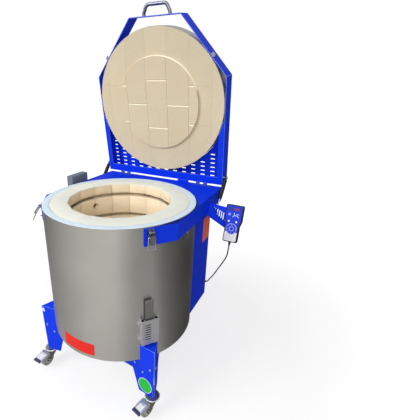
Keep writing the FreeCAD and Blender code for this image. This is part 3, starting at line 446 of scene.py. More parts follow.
BLACK = Finish(
    "black moulded plastic", (0.014, 0.014, 0.022), specular=0.22, mottle=0.2, bump_scale=1500.0, bump_depth=0.05,
    grime=0.1, grime_colour=(0.08, 0.08, 0.08))
DARK_BOX = Finish(
    "dark grey plastic", (0.14, 0.16, 0.20), mottle=0.12, bump_scale=1300.0, bump_depth=0.05, grime=0.15,
    grime_colour=(0.2, 0.21, 0.23))
PRINT = Finish("blue membrane", (0.016, 0.040, 0.60), specular=0.12, mottle=0.04)
RED = Finish(
    "red plate", (0.74, 0.022, 0.016), roughness=0.55, specular=0.12, grime=0.1, grime_colour=(0.35, 0.05, 0.04),
    grime_scale=30.0)
# A lighter copy of the red plate for the rear box's shaded side: painted light.
RED_PLATE_LIT = Finish(
    "red plate painted lighter", (0.88, 0.15, 0.09), specular=0.15, mottle=0.08, grime=0.15, grime_colour=(0.6, 0.3, 0.2),
    grime_scale=20.0)
WHEEL = Finish(
    "grey wheel rubber", (0.33, 0.33, 0.32), roughness=0.6, mottle_scale=40.0, mottle=0.15, grime=0.35,
    grime_colour=(0.32, 0.31, 0.28), grime_scale=50.0)
BLACK_STEEL = Finish("black enamelled steel", (0.012, 0.013, 0.02), roughness=0.38, specular=0.25, mottle=0.15)
RUBBER = Finish("black cable rubber", (0.045, 0.045, 0.048), mottle_scale=200.0, mottle=0.2)
WIRE = Finish("heat-proof wire sleeve", (0.45, 0.08, 0.05), roughness=0.7, mottle_scale=300.0, mottle=0.3)

LATCH = Finish(
    "plated latch steel", (0.36, 0.37, 0.40), roughness=0.2, metallic=1.0, mottle=0.08, mottle_scale=60.0, grime=0.3,
    grime_colour=(0.12, 0.12, 0.13), grime_scale=80.0)
BAIL = Finish(
    "plated latch wire", (0.55, 0.56, 0.60), roughness=0.2, metallic=1.0, mottle=0.08, mottle_scale=80.0, grime=0.15,
    grime_colour=(0.2, 0.2, 0.22), grime_scale=80.0)
HINGE = Finish(
    "painted hinge", (0.006, 0.035, 0.40), roughness=0.4, specular=0.25, mottle=0.08, mottle_scale=60.0, grime=0.2,
    grime_colour=(0.10, 0.12, 0.22), grime_scale=60.0)
INLET = Finish(
    "satin sheet", (0.50, 0.50, 0.51), roughness=0.42, metallic=0.65, mottle=0.05, grain_depth=0.02,
    grain_colour=0.05)
SLIDE = Finish(
    "dull sheet", (0.27, 0.27, 0.265), roughness=0.36, metallic=0.8, mottle=0.08, grain_depth=0.02, grain_colour=0.05)
SCREW = Finish("blue zinc", (0.30, 0.42, 0.86), roughness=0.35, metallic=0.3, mottle_scale=60.0)
# A near-black brown for the spy bung, standing in for the shade inside the spy hole: painted shade.
DARK_BUNG_SHADE = Finish(
    "dark bung painted shade", (0.16, 0.10, 0.055), roughness=0.85, specular=0.2, mottle_scale=60.0, mottle=0.2)
# A paler brick for the plug's upper edges and the slits' chamfers: a painted highlight.
BRICK_EDGE_HIGHLIGHT = Finish("painted highlight on brick edges", (0.97, 0.90, 0.72), roughness=0.9, specular=0.2, mottle_scale=40.0, mottle=0.05)
CASTOR_STEEL = Finish(
    "pressed castor steel", (0.36, 0.355, 0.33), roughness=0.34, metallic=1.0, mottle_scale=70.0, mottle=0.12,
    grime=0.25, grime_colour=(0.16, 0.155, 0.14), grime_scale=40.0)
# Pale zinc on the swivel ring's rim only: a painted highlight.
ZINC_RIM_HIGHLIGHT = Finish(
    "pale zinc ring highlight", (0.86, 0.86, 0.86), roughness=0.42, metallic=0.55, mottle=0.04, grime=0.1,
    grime_colour=(0.5, 0.5, 0.48), grime_scale=60.0)
PEDAL_STEEL = Finish(
    "bright pedal steel", (0.70, 0.72, 0.76), roughness=0.3, metallic=0.9, mottle_scale=60.0, grime=0.12,
    grime_colour=(0.4, 0.4, 0.42), grime_scale=60.0)
PAD = Finish("white moulded pad", (0.80, 0.80, 0.80), mottle=0.05, mottle_scale=60.0)
TIP = Finish(
    "dark blue moulded tip", (0.018, 0.022, 0.085), roughness=0.4, mottle=0.1, mottle_scale=60.0, grime=0.15,
    grime_colour=(0.08, 0.09, 0.14), grime_scale=60.0)
GREY_TIP = Finish("blue grey moulding", (0.21, 0.23, 0.30), roughness=0.45, mottle=0.1, mottle_scale=60.0)
CORE = Finish(
    "grey wheel core", (0.46, 0.46, 0.45), mottle_scale=40.0, mottle=0.1, grime=0.2, grime_colour=(0.2, 0.2, 0.19),
    grime_scale=50.0)
WHITE_PRINT = Finish("white membrane", (0.76, 0.74, 0.78), specular=0.2, mottle=0.03)
DISPLAY = Finish("dark display window", (0.020, 0.036, 0.30), roughness=0.4, specular=0.2, mottle=0.05)
DIGIT = Finish("red display segment", (0.55, 0.06, 0.06), specular=0.1, mottle=0.03)
PALE_PRINT = Finish("pale blue print", (0.62, 0.70, 0.98), specular=0.1, mottle=0.03)
PALE_PLATE = Finish("pale plate", (0.62, 0.66, 0.78), roughness=0.4, mottle=0.04)
GREEN = Finish("green plate", (0.02, 0.50, 0.05), specular=0.15)

BY_SLOT = {
    Slot.JACKET: JACKET, Slot.BLUE: PAINT, Slot.BRICK: BRICK, Slot.FIBRE: FIBRE, Slot.ELEMENT: ELEMENT,
    Slot.CERAMIC: CERAMIC, Slot.STAINLESS: STAINLESS, Slot.CHROME: CHROME, Slot.ZINC: ZINC,
    Slot.GALVANISED: GALVANISED, Slot.BLACK: BLACK, Slot.DARK_BOX: DARK_BOX, Slot.PRINT: PRINT,
    Slot.CORD: RUBBER, Slot.RED: RED, Slot.WHEEL: WHEEL, Slot.BLACK_STEEL: BLACK_STEEL, Slot.WIRE: WIRE,
}


def dress_nodes() -> None:
    """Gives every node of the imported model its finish."""
    slots = {entry["node"]: entry["material_slot"] for entry in frame["record"]["subparts"]}
    for name, item in frame["nodes"].items():
        # The spy bung is coloured dark as painted shade in its hole.
        finish = DARK_BUNG_SHADE if name == "spy_bung" else BY_SLOT[Slot(slots[name])]
        item.data.materials.clear()
        item.data.materials.append(finish.material())


# Placement

LID_HINGE = (410.6, 897.1)
LID_OPEN = 82.0
LID_FACE = 906.5


def lid_place() -> Matrix:
    """Carries a lid piece from its closed place to the open one."""
    return hinged(-LID_OPEN, *LID_HINGE)


def turned_place(angle: float, x: float = 0.0, y: float = 0.0) -> Matrix:
    """Turns a piece built facing the front (-Y) to face an angle, and moves it."""
    return Matrix.Translation((x, y, 0.0)) @ Matrix.Rotation(radians(angle), 4, "Z")


def hinged(angle: float, y: float, z: float) -> Matrix:
    """A turn about a level line along X."""
    spot = Vector((0.0, y, z))
    return Matrix.Translation(spot) @ Matrix.Rotation(radians(angle), 4, "X") @ Matrix.Translation(-spot)


MIRROR_X = Matrix.Scale(-1.0, 4, (1.0, 0.0, 0.0))
SIDEWAYS = Matrix.Rotation(radians(90.0), 4, "Y")
# ACROSS stands an outline in Y and Z, UPRIGHT one in X and Z.
ACROSS = Matrix(((0, 0, 1, 0), (1, 0, 0, 0), (0, 1, 0, 0), (0, 0, 0, 1)))
UPRIGHT = Matrix(((1, 0, 0, 0), (0, 0, -1, 0), (0, 1, 0, 0), (0, 0, 0, 1)))
TO_FRAME = Matrix.Scale(MM, 4) @ Matrix.Translation((0.0, 0.0, -FLOOR_HEIGHT))


# Meshes


@dataclass
class Shape:
    """A mesh under construction, in millimetres; new faces take the finish with the given number."""

    mesh: bmesh.types.BMesh = field(default_factory=bmesh.new)
    finish: int = 0

    def __post_init__(self) -> None:
        """Makes room for the tone of each brick."""
        self.mesh.verts.layers.float.new("tone")

    def polyhedron(self, rows: Sequence[Sequence[Point]], closed_row: bool = True, closed: bool = False,
                   tone: float = 0.0) -> list[bmesh.types.BMVert]:
        """Skins a list of rows of points that have the same count.

        Args:
            rows: the rows, each a list of points.
            closed_row: whether each row joins up with itself.
            closed: whether the last row joins the first; if not, both are filled.
            tone: the value kept in the tone attribute.

        Returns:
            The new vertices.
        """
        grid = [[self.mesh.verts.new(Vector(point)) for point in row] for row in rows]
        count = len(grid[0])
        last = len(grid) if closed else len(grid) - 1
        for index in range(last):
            low, high = grid[index], grid[(index + 1) % len(grid)]
            for step in range(count if closed_row else count - 1):
                after = (step + 1) % count
                self.mesh.faces.new((low[step], low[after], high[after], high[step])).material_index = self.finish
        if not closed:
            self.mesh.faces.new(list(reversed(grid[0]))).material_index = self.finish
            self.mesh.faces.new(grid[-1]).material_index = self.finish
        made = [vertex for row in grid for vertex in row]
        for vertex in made:
            vertex[self.mesh.verts.layers.float["tone"]] = tone
        return made

    def prism(self, outline: Outline, z0: float, z1: float, tone: float = 0.0, place: Matrix = Matrix()) -> None:
        """An outline in X and Y carried from one height to another.

        Args:
            outline: the outline's corners.
            z0: the lower height.
            z1: the upper height.
            tone: the value kept in the tone attribute.
            place: where the result goes.
        """
        self.polyhedron([[place @ Vector((x, y, z)) for x, y in outline] for z in (z0, z1)], tone=tone)

    def box(self, x0: float, x1: float, y0: float, y1: float, z0: float, z1: float, place: Matrix) -> None:
        """A plain block, to be bevelled with the rest of its piece."""
        self.prism([(x0, y0), (x1, y0), (x1, y1), (x0, y1)], z0, z1, place=place)

    def lathe(self, profile: Outline, sides: int, closed: bool = True, place: Matrix = Matrix(),
              wobble: Callable[[float, float, float], Point] | None = None) -> None:
        """Turns a profile of (radius, height) pairs about the Z axis.

        Args:
            profile: the section; a closed one makes a ring.
            sides: the number of steps round.
            closed: whether the profile joins up with itself.
            place: where the result goes.
            wobble: shifts a point by its angle, radius and height.
        """
        rows = []
        for turn in turns(sides):
            row = []
            for radius, height in profile:
                if wobble is not None:
                    radius, height = wobble(turn, radius, height)
                row.append(place @ Vector((radius * sin(turn), -radius * cos(turn), height)))
            rows.append(row)
        made = self.polyhedron(rows, closed_row=closed, closed=True)
        if not closed:
            bmesh.ops.remove_doubles(self.mesh, verts=made, dist=0.001)

    def tube(self, path: Sequence[Vector], radius: float, sides: int) -> None:
        """A round tube along a path, its rings kept from twisting.

        Args:
            path: the points of the centre line.
            radius: the tube's radius.
            sides: the number of faces round.
        """
        rows = []
        side = None
        for index, point in enumerate(path):
            way = (path[min(index + 1, len(path) - 1)] - path[max(index - 1, 0)]).normalized()
            if side is None:
                side = way.orthogonal().normalized()
            side = (side - way * side.dot(way)).normalized()
            up = way.cross(side)
            rows.append([point + (side * cos(turn) + up * sin(turn)) * radius for turn in turns(sides)])
        self.polyhedron(rows)

    def plate(self, outline: Outline, x0: float, x1: float, place: Matrix = Matrix()) -> None:
        """An outline in Y and Z carried along X."""
        self.prism(outline, x0, x1, place=place @ ACROSS)

    def face_plate(self, outline: Outline, y0: float, y1: float, place: Matrix = Matrix()) -> None:
        """An outline in X and Z carried from one Y to another."""
        self.prism(outline, -y1, -y0, place=place @ UPRIGHT)

    def rod(self, start: Point, end: Point, radius: float, sides: int, bevel: float = 0.0) -> None:
        """A round bar between two points, with its end edges broken.

        Args:
            start: the middle of one end.
            end: the middle of the other.
            radius: the bar's radius.
            sides: the number of faces round.
            bevel: how much of each end's edge is broken.
        """
        path, radii = [Vector(start), Vector(end)], [radius, radius]
        if bevel:
            step = (path[1] - path[0]).normalized() * bevel
            path = [path[0], path[0] + step, path[1] - step, path[1]]
            radii = [radius - bevel, radius, radius, radius - bevel]
        self.tube_straight(path, radii, sides)

    def tube_straight(self, path: Sequence[Vector], radii: Sequence[float], sides: int) -> None:
        """Rings of given radii along a straight line.

        Args:
            path: the middle of each ring.
            radii: the radius of each ring.
            sides: the number of faces round.
        """
        way = (path[-1] - path[0]).normalized()
        side = way.orthogonal().normalized()
        up = way.cross(side)
        self.polyhedron([[point + (side * cos(turn) + up * sin(turn)) * radius
                          for turn in turns(sides)] for point, radius in zip(path, radii)])

    def move(self, place: Matrix) -> None:
        """Carries the whole mesh to another place."""
        bmesh.ops.transform(self.mesh, matrix=place, verts=self.mesh.verts)

    def closed(self, name: str) -> bpy.types.Mesh:
        """Ends the shape with its faces pointing outwards, as a mesh."""
        bmesh.ops.recalc_face_normals(self.mesh, faces=self.mesh.faces)
        return ended(self.mesh, name)


def rounded_path(corners: Sequence[Point], bend: float, steps: int) -> list[Vector]:
    """A path of straight runs with a round bend at each inner corner.

    Args:
        corners: the corners that the runs would meet in.
        bend: the bends' radius.
        steps: the number of steps in each bend.

    Returns:
        The path's points.
    """
    points = [Vector(corner) for corner in corners]
    path = [points[0]]
    for before, corner, after in zip(points, points[1:], points[2:]):
        into = (corner - before).normalized()
        away = (after - corner).normalized()
        half = into.angle(away) / 2
        if half < 0.01:
            continue
        setback = min(bend * tan(half), 0.49 * min((corner - before).length, (after - corner).length))
        reach = setback / tan(half)
        centre = corner + (away - into).normalized() * (reach / cos(half))
        first = corner - into * setback - centre
        last = corner + away * setback - centre
        for step in range(steps + 1):
            path.append(centre + first.slerp(last, step / steps).normalized() * reach)
    path.append(points[-1])
    return path


def rounded_outline(corners: Sequence[Sequence[float]], radius: float, steps: int = 5) -> Outline:
    """A closed outline with every corner rounded.

    Args:
        corners: the outline's corners.
        radius: how far the rounding reaches, less on a short side.
        steps: the number of steps in each corner.

    Returns:
        The rounded outline.
    """
    count = len(corners)
    outline = []
    for index in range(count):
        before, corner, after = (Vector(corners[(index + shift) % count]) for shift in (-1, 0, 1))
        into = (before - corner).normalized()
        away = (after - corner).normalized()
        setback = min(radius / tan(into.angle(away) / 2), 0.49 * (before - corner).length,
                      0.49 * (after - corner).length)
        start, end = corner + into * setback, corner + away * setback
        for step in range(steps + 1):
            share = step / steps
            first, second = start.lerp(corner, share), corner.lerp(end, share)
            outline.append(tuple(first.lerp(second, share)))
    return outline


def rounded_box(x0: float, x1: float, y0: float, y1: float, radius: float, steps: int = 5) -> Outline:
    """A rectangle with rounded corners."""
    return rounded_outline([(x0, y0), (x1, y0), (x1, y1), (x0, y1)], radius, steps)


def clipped(outline: Outline, axis: int, limit: float, keep_above: bool) -> Outline:
    """The part of a convex outline on one side of a line.

    Args:
        outline: the outline to cut.
        axis: 0 to cut at a value of the first coordinate, 1 at one of the second.
        limit: that value.
        keep_above: whether the part above it is kept.

    Returns:
        The part that is left, which may be empty.
    """
    kept = []
    for index, point in enumerate(outline):
        after = outline[(index + 1) % len(outline)]
        inside = (point[axis] >= limit) == keep_above
        next_inside = (after[axis] >= limit) == keep_above
        if inside:
            kept.append(point)
        if inside != next_inside:
            share = (limit - point[axis]) / (after[axis] - point[axis])
            kept.append((point[0] + (after[0] - point[0]) * share, point[1] + (after[1] - point[1]) * share))
    return kept


def round_piece(radius: float, limits: Sequence[float], sides: int) -> Outline:
    """The part of a disc that lies in a rectangle.

    Args:
        radius: the disc's radius.
        limits: the rectangle's limits in X and then in Y.
        sides: the number of steps round the disc.

    Returns:
        The outline, which may be empty.
    """
    outline = [(radius * sin(turn), -radius * cos(turn)) for turn in turns(sides)]
    for index, limit in enumerate(limits):
        outline = clipped(outline, index // 2, limit, index % 2 == 0)
        if not outline:
            return []
    return outline


def set_shading(mesh: bpy.types.Mesh, sharp: float) -> None:
    """Smooth faces, with the edges sharper than an angle left hard.

    Args:
        mesh: the mesh to shade.
        sharp: the angle in degrees.
    """
    work = bmesh.new()
    work.from_mesh(mesh)
    for face in work.faces:
        face.smooth = True
    for edge in work.edges:
        edge.smooth = len(edge.link_faces) == 2 and edge.calc_face_angle(0.0) < radians(sharp)
    work.to_mesh(mesh)
    work.free()


@dataclass
class Piece:
    """How a finished mesh joins the model."""

    name: str
    body: str
    finishes: Sequence[Finish]
    slot: Slot
    replaces: Sequence[str] = ()
    bevel: float = 0.0
    bevel_angle: float = 32.0
    sharp: float = 34.0
    clamp: bool = True
    bright_edges: bool = False

    def make(self, shape: Shape, place: Matrix = Matrix()) -> None:
        """Turns a shape into a piece of the model.

        Args:
            shape: the mesh in millimetres, in its own place or before it is moved there.
            place: the move that carries it to its place on the kiln.
        """
        shape.move(place)
        shape.move(TO_FRAME)
        self.adopt(shape.closed(self.name))

    def adopt(self, data: bpy.types.Mesh) -> None:
        """Makes a piece of a mesh that is already in the model's frame.

        Args:
            data: the mesh.
        """
        item = linked(self.name, data)
        parts = [face.material_index for face in data.polygons]
        data.materials.clear()
        for finish in self.finishes:
            data.materials.append(finish.material())
        if len(self.finishes) > 1:
            data.polygons.foreach_set("material_index", parts)
        if self.bevel:
            modifier = item.modifiers.new("broken edges", "BEVEL")
            modifier.width = self.bevel * MM
            modifier.segments = 2
            modifier.limit_method = "ANGLE"
            modifier.angle_limit = radians(self.bevel_angle)
            modifier.use_clamp_overlap = self.clamp
            # The bevel faces take the second finish, a pale painted highlight along the edges.
            if self.bright_edges:
                modifier.material = 1
            flatten(item)
        set_shading(item.data, self.sharp)
        if self.bevel:
            modifier = item.modifiers.new("flat faces", "WEIGHTED_NORMAL")
            modifier.keep_sharp = True
            flatten(item)
        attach(item, self.body)
        if self.replaces:
            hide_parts(*self.replaces)
        log.info("%s on %s, %d faces", self.name, self.body, len(item.data.polygons))


def flatten(item: bpy.types.Object) -> None:
    """Turns an object's modifiers into its plain mesh.

    Args:
        item: the object.
    """
    graph = bpy.context.evaluated_depsgraph_get()
    made = bpy.data.meshes.new_from_object(item.evaluated_get(graph), preserve_all_data_layers=True,
                                           depsgraph=graph)
    item.modifiers.clear()
    item.data = made


class Fields:
    """A geometry node tree with named inputs that are set by their identifiers."""

    def __init__(self, name: str, inputs: dict[str, str]) -> None:
        """Starts the tree.

        Args:
            name: the tree's name.
            inputs: the kinds of socket by input name.
        """
        self.group = bpy.data.node_groups.new(name, "GeometryNodeTree")
        self.tree = Tree(self.group)
        self.keys = {}
        for label, kind in inputs.items():
            socket = self.group.interface.new_socket(label, in_out="INPUT", socket_type="NodeSocket" + kind)
            self.keys[label] = socket.identifier
        self.group.interface.new_socket("Mesh", in_out="OUTPUT", socket_type="NodeSocketGeometry")
        self.given = self.group.nodes.new("NodeGroupInput").outputs
        self.result = self.group.nodes.new("NodeGroupOutput").inputs

    def finish(self, geometry: Socket) -> None:
        """Ends the tree in plain geometry with the given material."""
        plain = self.tree.add("GeometryNodeRealizeInstances", {0: geometry}).outputs[0]
        dressed = self.tree.add("GeometryNodeSetMaterial", {"Geometry": plain, "Material": self.given["Material"]})
        self.group.links.new(dressed.outputs[0], self.result[0])

    def mesh(self, name: str, values: dict[str, object]) -> bpy.types.Mesh:
        """The plain mesh that the tree makes from a set of values.

        Args:
            name: the name of the object and the modifier that it is made with.
            values: the values by input name.

        Returns:
            The mesh.
        """
        item = linked(name, bpy.data.meshes.new(name))
        modifier = item.modifiers.new(name, "NODES")
        modifier.node_group = self.group
        for label, value in values.items():
            modifier[self.keys[label]] = value
        flatten(item)
        made = item.data
        bpy.data.objects.remove(item)
        return made


# Drum


@dataclass
class Drum:
    """The brick lining, its elements, the fibre blanket round it and the steel jacket's trim.

    Each row is the number of pitches below it and its height in pitches.
    """

    jacket_radius: float = 350.0
    jacket_sheet: float = 1.4
    drum_bottom: float = 274.0
    rim: float = 906.0
    pitch: float = 114.0
    rows: Sequence[tuple[int, int]] = ((0, 1), (1, 2), (3, 2))
    bricks: int = 16
    apothem: float = 235.0
    thickness: float = 76.0
    joint: float = 1.3
    worn_edge: float = 0.9
    groove_height: float = 20.0
    groove_depth: float = 16.0
    undercut: tuple[float, float] = (3.0, 4.0)
    cap_overhang: float = 7.2
    cap_steps: int = 8
    coil_ring: float = 243.6
    coil_radius: float = 4.7
    wire_radius: float = 0.85
    coil_turns: int = 250
    coil_steps: int = 9
    coil_gap: float = 1.4
    tail_angles: tuple[float, float] = (176.0, 184.0)
    tail_end: float = 395.0
    tail_steps: int = 59
    tail_twist: float = 0.35
    tail_spread: float = 1.1
    tail_radius: float = 0.95
    tail_hole: float = 4.5
    tail_start: float = 246.0
    spy_angle: float = -112.5
    spy_height: float = 797.0
    spy_radius: float = 13.0
    spy_flare: float = 6.0
    spy_start: float = 225.0
    air_hole: tuple[float, float, float] = (51.5, 430.0, 15.0)
    probe_hole: tuple[float, float, float] = (164.0, 678.0, 4.6)
    hole_start: float = 200.0
    hole_end: float = 345.0
    flare_end: float = 20.0
    blanket_inner: float = 318.6
    bead: float = 0.9
    bead_height: float = 904.6
    seed: int = 7

    @property
    def wall_bottom(self) -> float:
        """The height of the first row's lower face."""
        return self.rim - 5 * self.pitch

    def grooves(self) -> list[float]:
        """The heights of the element grooves."""
        return [self.wall_bottom + (index + 0.5) * self.pitch for index in range(1, 5)]

    def unit_brick(self, row: int, name: str) -> bpy.types.Object:
        """One upright brick of the wall, facing the front, its lower face at the floor's height.

        Args:
            row: the row that it belongs to; the bottom one has no grooves, the others have two.
            name: the object's name.

        Returns:
            The brick, to be repeated.
        """
        near, far = self.apothem, self.apothem + self.thickness
        steps = self.rows[row][1]
        top = steps * self.pitch - self.joint
        half, back = self.groove_height / 2, near + self.groove_depth
        deeper, lip = self.undercut
        section = [(near, 0.0), (far, 0.0), (far, top), (near, top)]
        for step in reversed(range(steps if row else 0)):
            middle = (step + 0.5) * self.pitch
            section += [(near, middle + half), (back, middle + half), (back + deeper, middle + half - lip),
                        (back + deeper, middle - half + lip), (back, middle - half), (near, middle - half)]
        slope = tan(pi / self.bricks)
        shape = Shape()
        rows = [[Vector((side * (d * slope - self.joint / 2), -d, z)) for d, z in section] for side in (-1, 1)]
        shape.polyhedron(rows)
        shape.move(Matrix.Scale(MM, 4))
        item = linked(name, shape.closed(name))
        modifier = item.modifiers.new("worn edges", "BEVEL")
        modifier.width = self.worn_edge * MM
        modifier.segments = 2
        modifier.limit_method = "ANGLE"
        flatten(item)
        return item

    @staticmethod
    def ring_tree() -> Fields:
        """A tree that repeats one object round the kiln's axis, each copy with a tone of its own.

        Returns:
            The tree, to be given the object and its place.
        """
        fields = Fields("ring of bricks", {"Unit": "Object", "Count": "Int", "First angle": "Float",
                                           "Height": "Float", "Seed": "Int", "Material": "Material"})
        tree, given = fields.tree, fields.given
        unit = tree.add("GeometryNodeObjectInfo", {"Object": given["Unit"]}).outputs["Geometry"]
        spots = tree.add("GeometryNodePoints", {"Count": given["Count"]}).outputs[0]
        index = tree.add("GeometryNodeInputIndex").outputs[0]
        pitch = tree.math("DIVIDE", 2 * pi, given["Count"])
        turn = tree.math("ADD", tree.math("MULTIPLY", index, pitch), given["First angle"])
        spin = tree.add("ShaderNodeCombineXYZ", {"Z": turn}).outputs[0]
        rise = tree.add("ShaderNodeCombineXYZ", {"Z": given["Height"]}).outputs[0]
        raised = tree.add("GeometryNodeSetPosition", {"Geometry": spots, "Position": rise}).outputs[0]
        copies = tree.add("GeometryNodeInstanceOnPoints", {"Points": raised, "Instance": unit,
                                                           "Rotation": spin}).outputs[0]
        tone = tree.add("FunctionNodeRandomValue", {"Seed": given["Seed"]}, data_type="FLOAT")
        marked = tree.add("GeometryNodeStoreNamedAttribute", {"Geometry": copies, "Name": "tone",
                                                              "Value": tone.outputs[1]},
                          data_type="FLOAT", domain="INSTANCE").outputs[0]
        fields.finish(marked)
        return fields

    def wall_cutter(self) -> bpy.types.Object:
        """The bars that cut the holes for the spy bung, the air, the thermocouple and the elements' tails.

        Returns:
            The bars as one object.
        """
        shape = Shape()
        holes = [(self.spy_angle, self.spy_height, self.spy_radius, self.spy_start),
                 (*self.air_hole, self.hole_start), (*self.probe_hole, self.hole_start)]
        holes += [(angle, height, self.tail_hole, self.tail_start)
                  for angle in self.tail_angles for height in self.grooves()]
        for angle, height, radius, start in holes:
            flare = self.spy_flare if radius == self.spy_radius else 0.0
            path = [outward(angle) * reach + on_axis(height)
                    for reach in (start, self.apothem + self.flare_end, self.hole_end)]
            shape.tube_straight(path, [radius + flare, radius, radius], 28)
        shape.move(TO_FRAME)
        return linked("wall_cutter", shape.closed("wall cutter"))

    def make_walls(self) -> None:
        """The three rows of bricks, in the two groups that the model has."""
        fields = self.ring_tree()
        cutter = self.wall_cutter()
        for name, rows in (("wall_bricks_lower", (0, 1)), ("wall_bricks_upper", (2,))):
            work = bmesh.new()
            for row in rows:
                unit = self.unit_brick(row, "unit_brick")
                shift = 0.5 if row % 2 == 0 else 0.0
                height = (self.wall_bottom + self.rows[row][0] * self.pitch - FLOOR_HEIGHT) * MM
                values = {"Unit": unit, "Count": self.bricks, "First angle": shift * 2 * pi / self.bricks,
                          "Height": height, "Seed": self.seed + row, "Material": BRICK.material()}
                work.from_mesh(fields.mesh(f"row {row}", values))
                bpy.data.objects.remove(unit)
            item = linked("cut bricks", ended(work, name))
            cut = item.modifiers.new("holes", "BOOLEAN")
            cut.object = cutter
            cut.solver = "EXACT"
            flatten(item)
            data = item.data
            bpy.data.objects.remove(item)
            Piece(name + "_dressed", "kiln", [BRICK], Slot.BRICK, [name]).adopt(data)
        bpy.data.objects.remove(cutter)

    def make_rim_cap(self) -> None:
        """The thin cap that hides the joints on top of the wall, paler than the bricks below it: painted light from
        above.
        """
        shades = random.Random(self.seed + 40)
        tones = [shades.random() for _ in range(self.bricks)]
        outer = self.apothem + self.thickness + self.cap_overhang
        parts = self.cap_steps
        shape = Shape()
        rows, marks = [], []
        for step in range(self.bricks * parts):
            angle = step * 360.0 / (self.bricks * parts)
            off = (step % parts) / parts * 2 * pi / self.bricks - pi / self.bricks
            near = (self.apothem - 0.3) / cos(off)
            section = [(near + 0.4, -7.0), (near, -5.0), (near + 0.5, -2.0), (near + 2.0, -0.4), (near + 4.5, 0.3),
                       (outer - 2.0, 0.35), (outer - 0.4, 0.1), (outer, -1.0), (outer - 0.5, -3.0), (near + 6.0, -4.0)]
            way = outward(angle)
            rows.append([way * d + on_axis(self.rim + z) for d, z in section])
            marks += [tones[step // parts]] * len(section)
        made = shape.polyhedron(rows, closed=True)
        for vertex, tone in zip(made, marks):
            vertex[shape.mesh.verts.layers.float["tone"]] = tone
        Piece("wall_rim_coat", "kiln", [RIM_BRICK_LIT], Slot.BRICK, sharp=50.0).make(shape)

    def coil_tree(self) -> Fields:
        """A tree that winds a wire along an arc.

        Returns:
            The tree, to be given its sizes.
        """
        fields = Fields("coiled element", {"Ring radius": "Float", "Coil radius": "Float", "Wire radius": "Float",
                                           "Turns": "Int", "Start": "Float", "Sweep": "Float", "Height": "Float",
                                           "Material": "Material"})
        tree, given = fields.tree, fields.given
        count = tree.math("MULTIPLY", given["Turns"], float(self.coil_steps))
        arc = tree.add("GeometryNodeCurveArc", {"Resolution": count, "Radius": given["Ring radius"],
                                                "Start Angle": given["Start"], "Sweep Angle": given["Sweep"]})
        index = tree.add("GeometryNodeInputIndex").outputs[0]
        phase = tree.math("MULTIPLY", index, 2 * pi / self.coil_steps)
        spot = tree.add("GeometryNodeInputPosition").outputs[0]
        out = tree.add("ShaderNodeVectorMath", {0: spot}, operation="NORMALIZE").outputs[0]
        wide = tree.math("MULTIPLY", tree.math("COSINE", phase), given["Coil radius"])
        high = tree.math("MULTIPLY", tree.math("SINE", phase), given["Coil radius"])
        up = tree.add("ShaderNodeCombineXYZ", {"Z": tree.math("ADD", high, given["Height"])}).outputs[0]
        shift = tree.add("ShaderNodeVectorMath", {0: tree.scaled(out, wide), 1: up}, operation="ADD").outputs[0]
        coil = tree.add("GeometryNodeSetPosition", {"Geometry": arc.outputs[0], "Offset": shift}).outputs[0]
        section = tree.add("GeometryNodeCurvePrimitiveCircle", {"Resolution": 4, "Radius": given["Wire radius"]})
        wire = tree.add("GeometryNodeCurveToMesh", {"Curve": coil, "Profile Curve": section.outputs[0],
                                                    "Fill Caps": True}).outputs[0]
        fields.finish(wire)
        return fields

    def make_tails(self) -> bpy.types.Mesh:
        """The twisted pairs of wire that leave through the wall.

        Returns:
            Their mesh, in the model's frame.
        """
        tails = Shape()
        for height in self.grooves():
            for angle in self.tail_angles:
                way = outward(angle)
                across = way.cross(on_axis(1.0))
                for turn in (0.0, pi):
                    path = [outward(180.0 + (angle - 180.0) * share) * (self.coil_ring + out) +
                            on_axis(height + cos(turn)) for share, out in ((0.2, 2.0), (0.7, 3.0))]
                    for step in range(2, self.tail_steps + 1):
                        along = self.coil_ring + (self.tail_end - self.coil_ring) * step / self.tail_steps
                        twist = turn + along * self.tail_twist
                        path.append(way * along + across * cos(twist) * self.tail_spread +
                                    on_axis(height + sin(twist) * self.tail_spread))
                    tails.tube(path, self.tail_radius, 6)
        tails.move(TO_FRAME)
        return ended(tails.mesh, "tails")

    def make_elements(self) -> None:
        """The coiled wires in the grooves, with their twisted tails through the wall."""
        fields = self.coil_tree()
        work = bmesh.new()
        gap = radians(self.coil_gap)
        for height in self.grooves():
            work.from_mesh(fields.mesh("coil", {
                "Ring radius": self.coil_ring * MM, "Coil radius": self.coil_radius * MM,
                "Wire radius": self.wire_radius * MM, "Turns": self.coil_turns,
                "Start": pi / 2 + gap / 2, "Sweep": 2 * pi - gap,
                "Height": (height - FLOOR_HEIGHT) * MM, "Material": ELEMENT.material()}))
        work.from_mesh(self.make_tails())
        Piece("element_coils", "kiln", [ELEMENT], Slot.ELEMENT, ["heating_elements"],
              sharp=60.0).adopt(ended(work, "coils"))

    def make_blanket(self) -> None:
        """The soft fibre ring between brick and steel, lapping over the steel's edge, and the base board."""
        wander = random.Random(self.seed)
        waves = [(wander.randint(2, 23), wander.uniform(0, 2 * pi), wander.uniform(0.2, 1.0))
                 for _ in range(9)]

        def wobble(turn: float, radius: float, height: float) -> Point:
            """Lifts and dents the visible top edge a little.

            Args:
                turn: where the point stands round the drum.
                radius: its distance from the axis.
                height: its height.

            Returns:
                Its new distance and height.
            """
            if height < self.rim - 12.0:
                return radius, height
            swell = sum(size * sin(count * turn + start) for count, start, size in waves) / len(waves)
            return radius + swell * 0.9, height + min(0.0, swell * 0.9 - 0.25)

